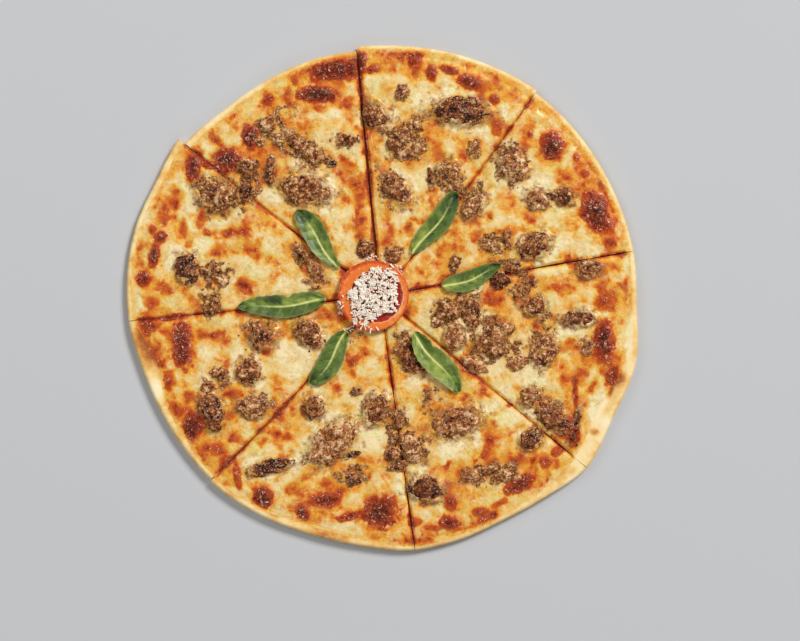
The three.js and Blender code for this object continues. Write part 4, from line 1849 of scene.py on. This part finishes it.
@dataclass
class Meat:
    """The larger pieces of roasted meat.

    Attributes:
        nodes: The frame's nodes by name.
        voxel: How fine their meshes are.
        ragged: How far their outlines move.
        granules: Their relief.
        tones: The numbers of the pieces of each tone. The others are brown.
    """

    nodes: dict[str, Piece]
    voxel: float = 0.5
    ragged: float = 2.2
    granules: Granules = field(default_factory=lambda: Granules(41))
    tones: tuple[tuple[Tone, tuple[int, ...]], ...] = (
        (Tone.DARK, (4, 22, 27, 33)),
        (Tone.DIM, (3, 11, 15, 20, 30, 31, 35, 36)),
        (Tone.LIGHT, (1, 5, 7, 12, 16, 19, 21, 32, 34)),
        (Tone.PALE, (8, 9, 10, 18, 23, 26)),
    )

    def build(self, material: Material) -> None:
        """Builds and dresses every piece over its frame node.

        Args:
            material: Their finish.
        """
        for name in sorted(n for n in self.nodes if n.startswith("meat_")):
            piece = double_of(self.nodes[name], f"roast_{name}")
            apply(piece, "REMESH", mode="VOXEL", voxel_size=self.voxel * MM)
            apply(piece, "SMOOTH", factor=0.5, iterations=4)
            self.granules.ruffle(piece, self.ragged)
            number = int(name[-2:])
            tone = next((tone for tone, those in self.tones if number in those), Tone.BROWN)
            self.granules.press(piece, tone.value, 1.0, 0.8)
            dress(piece, material, name)


FAR_IN = 20.0  # in from the rim and the cuts, where neither matters, in millimetres


@dataclass
class MeatBits:
    """Bits of meat of a middling size, half sunk in the cheese.

    Attributes:
        melt: The cheese that they lie in.
        bits: Their ovals, each with its tone as depth.
        scale: Millimetres for each pixel of their size.
        seed: Seed of the draws.
        granules: Their relief.
    """

    melt: MeltedCheese
    bits: tuple[Spot, ...] = Spot.many(
        (245, 190, 26, 14, 90, 0.39),
        (248, 168, 23, 20, 0, 0.54),
        (270, 172, 30, 11, 85, 0.45),
        (268, 125, 19, 16, 0, 0.67),
        (279, 139, 17, 13, 0, 0.68),
        (261, 141, 12, 10, 0, 0.68),
        (297, 142, 17, 13, 0, 0.52),
        (306, 151, 19, 13, -30, 0.59),
        (317, 159, 17, 12, 0, 0.58),
        (289, 132, 11, 9, 0, 0.68),
        (347, 140, 21, 13, 0, 0.53),
        (331, 163, 11, 9, 0, 0.26),
        (402, 93, 18, 15, 60, 0.55),
        (396, 140, 23, 18, 70, 0.60),
        (405, 153, 19, 14, 0, 0.68),
        (415, 126, 17, 13, 0, 0.58),
        (421, 148, 17, 11, 20, 0.68),
        (390, 184, 15, 16, 0, 0.45),
        (431, 180, 24, 8, 95, 0.36),
        (474, 147, 17, 12, 60, 0.62),
        (456, 187, 20, 9, 10, 0.66),
        (552, 196, 13, 8, 0, 0.44),
        (507, 236, 19, 8, 75, 0.51),
        (490, 246, 17, 13, 0, 0.64),
        (500, 280, 19, 17, 0, 0.24),
        (515, 268, 17, 14, 0, 0.42),
        (528, 287, 21, 8, 65, 0.52),
        (394, 254, 19, 16, 0, 0.60),
        (366, 248, 20, 18, 0, 0.50),
        (455, 263, 21, 10, 80, 0.51),
        (447, 312, 26, 20, 0, 0.57),
        (462, 299, 13, 11, 0, 0.68),
        (437, 322, 13, 9, 0, 0.66),
        (506, 328, 17, 13, 0, 0.68),
        (497, 349, 27, 16, 10, 0.62),
        (588, 348, 19, 12, 75, 0.64),
        (518, 363, 21, 14, 20, 0.62),
        (475, 365, 27, 15, -20, 0.68),
        (398, 420, 19, 12, 80, 0.53),
        (398, 438, 15, 12, 0, 0.58),
        (393, 455, 16, 14, 0, 0.55),
        (401, 466, 13, 12, 0, 0.56),
        (408, 452, 13, 10, 0, 0.58),
        (353, 479, 19, 14, 0, 0.36),
        (351, 454, 20, 7, 0, 0.43),
        (470, 475, 21, 15, 0, 0.70),
        (491, 470, 19, 12, 10, 0.72),
        (509, 475, 23, 14, 0, 0.68),
        (211, 272, 25, 15, 0, 0.52),
        (223, 281, 15, 11, 0, 0.66),
        (214, 306, 20, 11, 80, 0.50),
        (218, 373, 21, 14, 0, 0.64),
        (207, 388, 13, 11, 0, 0.66),
        (215, 425, 17, 15, 0, 0.36),
        (357, 391, 12, 10, 0, 0.50),
        (577, 420, 38, 8, 78, 0.28),
        (300, 251, 18, 10, -60, 0.50),
        (317, 273, 24, 12, -55, 0.56),
    )
    scale: float = 0.93 * PHOTO_SCALE
    seed: int = 52
    granules: Granules = field(default_factory=lambda: Granules(51))

    def build(self, material: Material) -> None:
        """Builds and dresses the bits as one mesh.

        Args:
            material: Their finish.
        """
        rng = np.random.default_rng(self.seed)
        count = len(self.bits)
        flat = np.array([spot.middle for spot in self.bits])
        far = np.full(count, FAR_IN)
        size = np.array([(spot.long, spot.wide, 0.65 * spot.wide) for spot in self.bits]) * self.scale
        z = self.melt.at(flat, far, far).z + 0.03 * size[:, 2]
        turn = np.stack([rng.normal(0, 0.15, count), rng.normal(0, 0.04, count), np.zeros(count)], axis=1)
        turn[:, 2] = np.radians([spot.turn for spot in self.bits])
        one = fresh("bit", bpy.ops.mesh.primitive_ico_sphere_add, subdivisions=5, radius=0.5)
        per = len(one.data.vertices)
        piece = scatter("meat_bits", one, np.concatenate([flat, z[:, None], turn, size], axis=1))
        tone = np.repeat([spot.depth for spot in self.bits], per)
        self.roughen(piece, np.repeat(flat + PLAN_SHIFT, per, axis=0))
        self.granules.press(piece, tone, 0.7, 0.0)
        dress(piece, material)

    def roughen(self, piece: Piece, middles: Array) -> None:
        """Makes the bits' plan outlines uneven, by the direction from their middles.

        Args:
            piece: The mesh of all the bits.
            middles: The middle of each vertex's own bit.
        """
        points = vertices(piece) / MM
        offset = points[:, :2] - middles
        angle = np.arctan2(*offset.T[::-1])
        ring = np.stack([np.cos(angle), np.sin(angle), 0.11 * middles.sum(axis=1)], axis=1)
        offset *= (1 + 0.80 * self.granules.clump.layers(1.3 * ring, 1.0, 3, 0.6))[:, None]
        points[:, :2] = middles + offset
        put(piece, points * MM)


# -------------------- mint


@dataclass(frozen=True)
class LeafPlan:
    """A mint leaf.

    Attributes:
        start: Plan place of its stalk end.
        tip: Plan place of its tip.
        half: Half its width.
        ends: How pointed its stalk end and its tip are, where 0.5 is round.
        bright: Its middle tone.
        half_shade: How much darker its left half is than its right, as painted shade.
        notch: How far along a notch lies, and on which side, 1 for the left and -1 for the right.
        shades: Patches by their pixel, darker for a depth above 0 and brighter below, mixing the leaf's
            own colour with painted shade and painted sheen.
    """

    start: tuple[float, float]
    tip: tuple[float, float]
    half: float
    ends: tuple[float, float]
    bright: float
    half_shade: float
    notch: tuple[float, float] = (0.5, 0.0)
    shades: tuple[Spot, ...] = ()

    def width(self, t: Array, v: Array) -> Array:
        """Half width along the leaf.

        Args:
            t: Shares of the length.
            v: Which side, above 0 for the left.

        Returns:
            The half widths.
        """
        stalk, end = self.ends
        widest = stalk / (stalk + end)
        most = widest**stalk * (1 - widest) ** end
        outline = np.maximum(0.04, t**stalk * (1 - t) ** end / most)
        place, side = self.notch
        cut = np.exp(-(((t - place) / 0.05) ** 2)) * (v * side > 0)
        return self.half * outline * (1 - 0.25 * cut)


@dataclass
class Mint:
    """The six mint leaves.

    Attributes:
        nodes: The frame's nodes by name.
        leaves: The leaves, in the order of their nodes.
        along: How many strips a leaf has along its length.
        across: How many it has across.
        thick: Thickness of a leaf.
        veins: How many side veins each half has.
        tries: How often a place off the frame's leaf is moved towards its middle.
        move: What share of the way each time.
        above: Height from which the frame's leaf is looked for, in metres.
        noise: Waves of a leaf's face.
    """

    nodes: dict[str, Piece]
    leaves: tuple[LeafPlan, ...] = (
        LeafPlan(
            (-26.4, 17.4), (-51.8, 51.4), 7.0, (0.8, 0.5), 0.50, 0.02,
            shades=Spot.many(
                (303, 217, 18, 18, 125, 0.32),
                (311, 232, 26, 8, 112, -0.22),
                (326, 246, 20, 6, 125, -0.12),
            ),
        ),
        LeafPlan(
            (17.5, 25.5), (43.5, 61.5), 6.6, (0.6, 0.45), 0.42, -0.10,
            shades=Spot.many(
                (450, 202, 20, 18, 53, 0.25),
                (431, 232, 24, 6, 56, 0.18),
                (419, 241, 26, 9, 60, -0.22),
            ),
        ),
        LeafPlan(
            (35, 5.6), (70, 18.4), 6.0, (0.5, 0.75), 0.42, 0.04,
            shades=Spot.many(
                (449, 284, 22, 14, 21, -0.3),
                (490, 271, 24, 12, 21, 0.18),
            ),
        ),
        LeafPlan(
            (17.8, -20.6), (44.6, -56), 7.6, (0.6, 0.6), 0.66, 0.06, (0.30, 1),
            shades=Spot.many(
                (424, 336, 18, 12, -55, 0.16),
                (454, 386, 12, 10, -55, 0.14),
            ),
        ),
        LeafPlan(
            (-21.6, -20.6), (-42.2, -52), 7.0, (0.5, 0.5), 0.42, -0.06,
            shades=Spot.many(
                (319, 377, 20, 18, 58, 0.25),
                (341, 345, 24, 8, 58, -0.15),
            ),
        ),
        LeafPlan(
            (-34.6, -1.6), (-86, -6.6), 7.0, (0.42, 0.55), 0.46, 0.12, (0.42, -1),
            shades=Spot.many(
                (274, 299, 24, 9, -4, 0.42),
                (308, 300, 30, 7, 6, -0.2),
                (254, 306, 12, 12, 0, -0.1),
            ),
        ),
    )
    along: int = 120
    across: int = 48
    thick: float = 0.45
    veins: int = 7
    tries: int = 12
    move: float = 0.02
    above: float = 0.05
    noise: Noise = field(default_factory=lambda: Noise(57))

    def shape(self, number: int) -> Piece:
        """Builds one leaf over its frame node.

        Args:
            number: The leaf's number, from 0.

        Returns:
            The piece.
        """
        leaf = self.leaves[number]
        name, grid = f"mint_leaf_{number + 1:02d}", bpy.ops.mesh.primitive_grid_add
        piece = fresh(name, grid, x_subdivisions=self.across, y_subdivisions=self.along, size=2.0)
        right, ahead, _ = vertices(piece).T
        v, t = -right, (ahead + 1) / 2
        dx, dy = leaf.tip[0] - leaf.start[0], leaf.tip[1] - leaf.start[1]
        length = math.hypot(dx, dy)
        tooth = 0.22 * np.sin(2 * np.pi * (self.veins + 3) * t + 2 * number) * np.abs(v) ** 6
        wide = leaf.width(t, v) + tooth
        sway = 1.2 * np.sin(2 * np.pi * t + number)
        side = (wide * v + sway) / length
        x = leaf.start[0] + dx * t - dy * side
        y = leaf.start[1] + dy * t + dx * side
        z = self.lie(self.nodes[f"mint_{number + 1:02d}"], x, y)
        rib = np.exp(-((v * wide / (0.75 - 0.4 * t)) ** 2)) * (1 - ease(0.45, 0.95, t))
        slant = self.veins * (t + 0.05 * v) - 0.9 * np.abs(v) ** 1.3 + 0.10 * np.sin(9 * t)
        phase = slant % 1 - 0.5
        branch = np.exp(-((phase / 0.08) ** 2)) * (1 - np.abs(v)) ** 0.6
        quilt = np.cos(2 * np.pi * (phase - 0.5)) * (1 - v**2)
        wave = self.noise.layers(np.stack([x, y], axis=1), 7.0, 3)
        z = z - 0.28 * rib - 0.10 * branch + 0.14 * quilt + 0.25 * wave
        put(piece, to_world(x, y, z))
        fade = 0.20 * branch * (0.6 + 0.8 * wave)
        note(piece, "vein", np.clip(0.95 * rib + fade + 0.25 * np.abs(v) ** 12, 0, 1))
        # The tone is lighter on the quilted bulges and the raised waves of the heights above, partly the
        # leaf's own mottling and partly painted light and shade; one half is darker as painted shade.
        tone = leaf.bright + 0.06 * quilt + 0.40 * wave - leaf.half_shade * np.sign(v)
        # The listed patches: partly the leaf's own colour, partly painted shade and painted sheen.
        for spot in leaf.shades:
            tone -= spot.depth * (1 - ease(0.5, 1.3, spot.away(x, y) + 0.5 * wave))
        note(piece, "tone", np.clip(tone, 0, 1))
        apply(piece, "SOLIDIFY", thickness=self.thick * MM, offset=-1.0)
        smooth(piece)
        return piece

    def lie(self, node: Piece, x: Array, y: Array) -> Array:
        """Heights of the frame node's upper face.

        Args:
            node: The leaf's frame node.
            x: Plan x of the points.
            y: Plan y of the points.

        Returns:
            The heights, in millimetres.
        """
        tree = BVHTree.FromPolygons(
            [vertex.co for vertex in node.data.vertices],
            [polygon.vertices for polygon in node.data.polygons],
        )
        middle = Vector(np.array(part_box(node.name)).mean(axis=0))
        top = np.empty(len(x))
        for i, (px, py, _) in enumerate(to_world(x, y, x)):
            hit = None
            start, end = Vector((px, py, self.above)), Vector((middle.x, middle.y, self.above))
            for step in range(self.tries):
                hit = tree.ray_cast(start.lerp(end, self.move * step), Vector((0, 0, -1)))[0]
                if hit:
                    break
            top[i] = hit.z if hit else middle.z
        return top / MM

    def build(self, material: Material) -> None:
        """Builds and dresses every leaf."""
        for number in range(len(self.leaves)):
            dress(self.shape(number), material, f"mint_{number + 1:02d}")


# -------------------- tomato and grated cheese


TOMATO_MIDDLE = (-6.3, 1.1)
TOMATO_RADIUS = 21.0


@dataclass
class Tomato:
    """The slice of tomato in the middle.

    Attributes:
        middle: Its middle.
        radius: Its radius.
        bed: The seed bed's middle, from the slice's own, and its radius.
        recess: How deep the bed is sunk.
        rings: How many rings its cut face has.
        ring: How wide each of them is.
        noise: Unevenness of its face and its colours.
    """

    middle: tuple[float, float] = TOMATO_MIDDLE
    radius: float = TOMATO_RADIUS
    bed: tuple[float, float, float] = (2.0, 0.0, 15.8)
    recess: float = 0.9
    rings: int = 26
    ring: float = 0.78
    noise: Noise = field(default_factory=lambda: Noise(55))

    def build(self, material: Material) -> None:
        """Builds and dresses the slice.

        Args:
            material: Its finish.
        """
        low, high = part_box("tomato")
        thick = high.z - low.z
        where = (
            (self.middle[0] + PLAN_SHIFT[0]) * MM,
            (self.middle[1] + PLAN_SHIFT[1]) * MM,
            low.z + thick / 2,
        )
        disc = {"vertices": 180, "radius": self.radius * MM, "depth": thick, "end_fill_type": "NGON"}
        piece = fresh("tomato_slice", bpy.ops.mesh.primitive_cylinder_add, location=where, **disc)
        bpy.ops.object.transform_apply(location=True)
        self.cut_face(piece)
        apply(piece, "BEVEL", width=0.8 * MM, segments=4, limit_method="ANGLE")
        self.soften(piece, high.z)
        dress(piece, material, "tomato")

    def cut_face(self, piece: Piece) -> None:
        """Insets the upper face in rings and closes it at its middle.

        Args:
            piece: The slice.
        """
        bpy.ops.object.mode_set(mode="EDIT")
        bpy.ops.mesh.select_mode(type="FACE")
        bpy.ops.mesh.select_all(action="DESELECT")
        bpy.ops.object.mode_set(mode="OBJECT")
        for polygon in piece.data.polygons:
            polygon.select = polygon.normal.z > 0.9
        bpy.ops.object.mode_set(mode="EDIT")
        for _ in range(self.rings):
            bpy.ops.mesh.inset(thickness=self.ring * MM, depth=0)
        bpy.ops.mesh.merge(type="CENTER")
        bpy.ops.object.mode_set(mode="OBJECT")

    def soften(self, piece: Piece, top: float) -> None:
        """Sinks the seed bed and writes how deep in the fruit each place is.

        Args:
            piece: The slice.
            top: Height of its upper face, in metres.
        """
        points = vertices(piece) / MM
        flat = points[:, :2] - np.array(self.middle) - PLAN_SHIFT
        wave = self.noise.layers(flat, 6.0, 4, 0.6)
        out = np.hypot(*flat.T) + 0.9 * wave
        upper = points[:, 2] > top / MM - 0.3
        deep = np.hypot(*(flat - self.bed[:2]).T) + 1.1 * wave
        bed = 1 - ease(self.bed[2] - 1.5, self.bed[2] + 0.6, deep)
        points[:, 2] += upper * (0.18 * wave - self.recess * bed)
        grown = 1 + 0.012 * np.sin(3 * np.arctan2(*flat.T[::-1]))
        points[:, :2] += flat * (grown - 1)[:, None]
        put(piece, points * MM)
        # Painted shade: the slice is darker and redder towards its upper left, with a wider red edge
        # there.
        left = 0.5 - 0.5 * np.cos(np.arctan2(*flat.T[::-1]) + 0.7)
        edge = ease(self.radius - 1.4 - 2.6 * left, self.radius - 0.2, out)
        core = np.clip(0.56 - 0.56 * edge + 0.5 * bed - 0.12 * left + 0.16 * wave, 0, 1)
        note(piece, "core", core)
        smooth(piece)


@dataclass
class GratedCheese:
    """The heap of grated cheese on the tomato, and what fell beside it.

    Attributes:
        middle: The heap's middle.
        reach: Its radius in even directions, anticlockwise from +X all the way round.
        shreds: How many shreds are drawn for it, of which its gaps leave out some.
        fallen: How many fell beside it.
        seed: Seed of the draws.
        floor: Height of those that fell beside the tomato, in millimetres.
        strays: Where they fell.
        noise: Unevenness of its outline and its gaps.
    """

    middle: tuple[float, float] = (-7.0, 0.6)
    reach: tuple[float, ...] = (15, 18, 18.4, 17, 13.2, 12.5, 14, 13.5, 18.6, 14.5, 12.2, 15.5, 15)
    shreds: int = 2500
    fallen: int = 110
    seed: int = 61
    floor: float = 6.9
    strays: tuple[Spot, ...] = Spot.many(
        (370, 245, 6, 5),
        (371, 257, 12, 5),
        (392, 256, 16, 14),
        (392, 268, 20, 10),
        (349, 329, 10, 8),
        (366, 329, 16, 8),
        (340, 306, 8, 16),
        (384, 300, 22, 34),
    )
    noise: Noise = field(default_factory=lambda: Noise(63))

    def shred(self) -> Piece:
        """One shred, to be copied: a short bar with its ends narrowed.

        Returns:
            The shred.
        """
        piece = fresh("shred", bpy.ops.mesh.primitive_cube_add, size=1.0)
        apply(piece, "BEVEL", width=0.18, segments=1)
        return piece

    def outline(self, angle: Array) -> Array:
        """Radius of the heap in each direction.

        Args:
            angle: The directions, in radians.

        Returns:
            The radii.
        """
        ring = np.stack([np.cos(angle), np.sin(angle)], axis=1)
        far = through(self.reach, angle / (2 * np.pi))
        return far * (1 + 0.26 * self.noise.layers(2.8 * ring + 5.0, 1.0, 4, 0.8))

    def places(self, base: float, top: float) -> Array:
        """Where every shred lies.

        Args:
            base: Height of the heap's foot.
            top: Height of its top.

        Returns:
            Rows of middle, turn about three axes, and length, width and thickness.
        """
        rng = np.random.default_rng(self.seed)
        count = self.shreds
        angle = rng.random(count) * 2 * np.pi
        out = rng.random(count) ** 0.52
        flat = np.stack([np.cos(angle), np.sin(angle)], axis=1) * (out * self.outline(angle))[:, None]
        gaps = self.noise.layers(flat + 30.0, 2.6, 3, 0.9) > -0.04 + 0.14 * rng.random(count)
        flat = flat[~gaps] + self.middle
        dome = np.sqrt(np.clip(1 - out[~gaps] ** 2, 0, 1))
        high = base + (top - base) * dome * rng.random(len(flat)) ** 0.4
        middles = np.array([spot.middle for spot in self.strays])
        which = rng.integers(0, len(middles), self.fallen)
        spread = np.array([(spot.long, spot.wide) for spot in self.strays])[which] * PHOTO_SCALE / 2
        fallen = middles[which] + spread * rng.normal(0, 0.6, (self.fallen, 2))
        out = np.hypot(*(fallen - TOMATO_MIDDLE).T)
        low = np.where(out < TOMATO_RADIUS, base + 0.6, self.floor)
        places = np.concatenate([flat, fallen])
        z = np.concatenate([high + 0.2, low])
        count = len(places)
        size = np.stack(
            [
                0.9 + 2.2 * rng.random(count) ** 2.0,
                0.45 + 0.45 * rng.random(count),
                0.40 + 0.35 * rng.random(count),
            ],
            axis=1,
        )
        turn = rng.normal(0, 0.4, (count, 3))
        turn[:, 2] = rng.random(count) * 2 * np.pi
        return np.concatenate([places, z[:, None], turn, size], axis=1)

    def build(self, material: Material) -> None:
        """Builds and dresses the heap as one mesh of joined shreds.

        Args:
            material: Its finish.
        """
        low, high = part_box("grated_cheese")
        places = self.places(low.z / MM, high.z / MM - 0.7)
        piece = scatter("grated_shreds", self.shred(), places)
        dress(piece, material, "grated_cheese")


def turned(angles: Array) -> Array:
    """Rotation matrices from rows of turns about x, y and z.

    Args:
        angles: Rows of turns, in radians.

    Returns:
        One matrix for each row.
    """
    c, s = np.cos(angles), np.sin(angles)
    zero, one = np.zeros(len(angles)), np.ones(len(angles))

    def stack(*rows: Array) -> Array:
        """Matrices from their nine numbers, row by row."""
        return np.stack(rows, axis=1).reshape(-1, 3, 3)

    about_x = stack(one, zero, zero, zero, c[:, 0], -s[:, 0], zero, s[:, 0], c[:, 0])
    about_y = stack(c[:, 1], zero, s[:, 1], zero, one, zero, -s[:, 1], zero, c[:, 1])
    about_z = stack(c[:, 2], -s[:, 2], zero, s[:, 2], c[:, 2], zero, zero, zero, one)
    return about_z @ about_y @ about_x


def scatter(name: str, one: Piece, places: Array) -> Piece:
    """One mesh of many copies of a small shape.

    Args:
        name: The new piece's name.
        one: The shape, about a unit across, which is removed.
        places: Rows of plan middle, turns, and sizes along the shape's axes, in millimetres.

    Returns:
        The new piece.
    """
    shape = vertices(one)
    faces = [tuple(polygon.vertices) for polygon in one.data.polygons]
    bpy.data.objects.remove(one)
    local = shape[None, :, :] * places[:, None, 6:9]
    spun = np.einsum("nij,nkj->nki", turned(places[:, 3:6]), local)
    points = (spun + places[:, None, 0:3]).reshape(-1, 3)
    mesh = bpy.data.meshes.new(name)
    steps = (len(shape) * np.arange(len(places))).tolist()
    every = [tuple(corner + step for corner in face) for step in steps for face in faces]
    mesh.from_pydata(to_world(*points.T).tolist(), [], every)
    mesh.update()
    piece = bpy.data.objects.new(name, mesh)
    bpy.context.scene.collection.objects.link(piece)
    return piece


# -------------------- crumbs of meat


@dataclass
class MeatCrumbs:
    """Small bits of meat strewn over the cheese where there is ground meat in it.

    Attributes:
        melt: The cheese that they lie on.
        count: How many there are.
        seed: Seed of the draws.
        lump: Unevenness of a crumb.
        speck: Unevenness of its tone.
    """

    melt: MeltedCheese
    count: int = 420
    seed: int = 71
    lump: Noise = field(default_factory=lambda: Noise(73, 3))
    speck: Noise = field(default_factory=lambda: Noise(75, 3))

    def build(self, material: Material) -> None:
        """Builds and dresses the crumbs as one mesh.

        Args:
            material: Their finish.
        """
        rng = np.random.default_rng(self.seed)
        weights = np.array([spot.depth * spot.long * spot.wide for spot in GROUND])
        chosen = rng.choice(len(GROUND), self.count, p=weights / weights.sum())
        rows = []
        for spot in (GROUND[i] for i in chosen):
            angle, out = rng.random() * 2 * np.pi, 0.5 * math.sqrt(rng.random())
            along, across = out * spot.long * math.cos(angle), out * spot.wide * math.sin(angle)
            turn = math.radians(spot.turn)
            px = spot.x + along * math.cos(turn) - across * math.sin(turn)
            py = spot.y - along * math.sin(turn) - across * math.cos(turn)
            rows.append(on_plan(px, py))
        flat = np.array(rows)
        far = np.full(len(flat), FAR_IN)
        size = 1.2 + 2.4 * rng.random(self.count) ** 1.8
        z = self.melt.at(flat, far, far).z - 0.26 * size
        sizes = size[:, None] * (0.6 + 0.5 * rng.random((self.count, 3)))
        sizes[:, 2] *= 0.7
        places = np.concatenate([flat, z[:, None], rng.random((self.count, 3)) * 6.28, sizes], axis=1)
        one = fresh("crumb", bpy.ops.mesh.primitive_ico_sphere_add, subdivisions=2, radius=0.5)
        shape = vertices(one)
        shape *= (1 + 0.42 * self.lump.layers(shape + 5.0, 0.5, 3))[:, None]
        put(one, shape)
        piece = scatter("meat_crumbs", one, places)
        per = len(piece.data.vertices) // self.count
        local = self.speck.layers(vertices(piece) / MM, 1.2, 3)
        tint = np.repeat(0.34 + 0.30 * rng.random(self.count), per)
        note(piece, "tone", np.clip(tint + 0.3 * local, 0, 1))
        note(piece, "film", np.full(len(tint), 0.32))
        smooth(piece)
        dress(piece, material)


# -------------------- stage


@dataclass(frozen=True)
class AreaLamp:
    """A square soft light: where it stands, how large it is and how strong."""

    place: tuple[float, float, float]
    size: float
    power: float


@dataclass
class Studio:
    """Floor, light and camera.

    Attributes:
        lens: Focal length.
        sensor: Width of the camera's picture plane.
        focus_height: Height at which a pixel has the photograph's scale.
        floor: Width of the floor, in metres.
        lamps: The lamps.
        sky: Strength of the light from all sides.
    """

    lens: float = 85.0
    sensor: float = 36.0
    focus_height: float = 7.0
    floor: float = 6.0
    lamps: tuple[AreaLamp, ...] = (
        AreaLamp((2.1, 2.3, 2.9), 1.2, 169.0),
        AreaLamp((-1.2, 0.5, 1.3), 1.0, 8.0),
        AreaLamp((0.1, -1.4, 1.2), 1.0, 6.0),
    )
    sky: float = 0.16

    def build(self) -> None:
        """Sets up the floor, the lamps, the sky and the camera."""
        floor = fresh("floor", bpy.ops.mesh.primitive_plane_add, size=self.floor)
        floor.data.materials.append(FloorFinish().make())
        for lamp in self.lamps:
            bpy.ops.object.light_add(type="AREA", location=lamp.place)
            light = bpy.context.active_object
            light.data.energy = lamp.power
            light.data.size = lamp.size
            light.rotation_euler = (-Vector(lamp.place)).to_track_quat("-Z", "Y").to_euler()
        world = bpy.context.scene.world or bpy.data.worlds.new("sky")
        bpy.context.scene.world = world
        world.use_nodes = True
        background = world.node_tree.nodes["Background"]
        background.inputs["Color"].default_value = (1.0, 1.0, 1.0, 1.0)
        background.inputs["Strength"].default_value = self.sky
        self.aim()
        bpy.context.scene.view_settings.view_transform = "Standard"

    def aim(self) -> None:
        """Puts the camera straight above the point that the photograph is centred on."""
        x, y = on_plan(PHOTO_WIDE / 2, PHOTO_HIGH / 2) + PLAN_SHIFT
        away = self.lens / self.sensor * PHOTO_WIDE * PHOTO_SCALE
        bpy.ops.object.camera_add(
            location=(x * MM, y * MM, (away + self.focus_height) * MM), rotation=(0, 0, 0)
        )
        camera = bpy.context.active_object
        camera.data.lens = self.lens
        camera.data.sensor_width = self.sensor
        bpy.context.scene.camera = camera


# -------------------- the whole


def main() -> None:
    """Builds the pizza round its frame."""
    logging.basicConfig(level=logging.INFO, format="%(message)s")
    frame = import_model()
    nodes = frame["nodes"]
    plan, heights = Plan(), Heights()

    mounds = [Mound.under(node) for name, node in sorted(nodes.items()) if name.startswith("meat_")]
    melt = MeltedCheese(plan, heights, mounds)
    dough = Dough(plan, heights)
    dough.build(DoughFinish().make())
    Cheese(plan, heights, melt, dough).build(CheeseFinish().make())
    meat_finish = MeatFinish().make()
    Meat(nodes).build(meat_finish)
    MeatBits(melt).build(meat_finish)
    MeatCrumbs(melt).build(meat_finish)
    Mint(nodes).build(LeafFinish().make())
    Tomato().build(TomatoFinish().make())
    GratedCheese().build(GratedFinish().make())
    Studio().build()


if __name__ == "__main__":
    main()
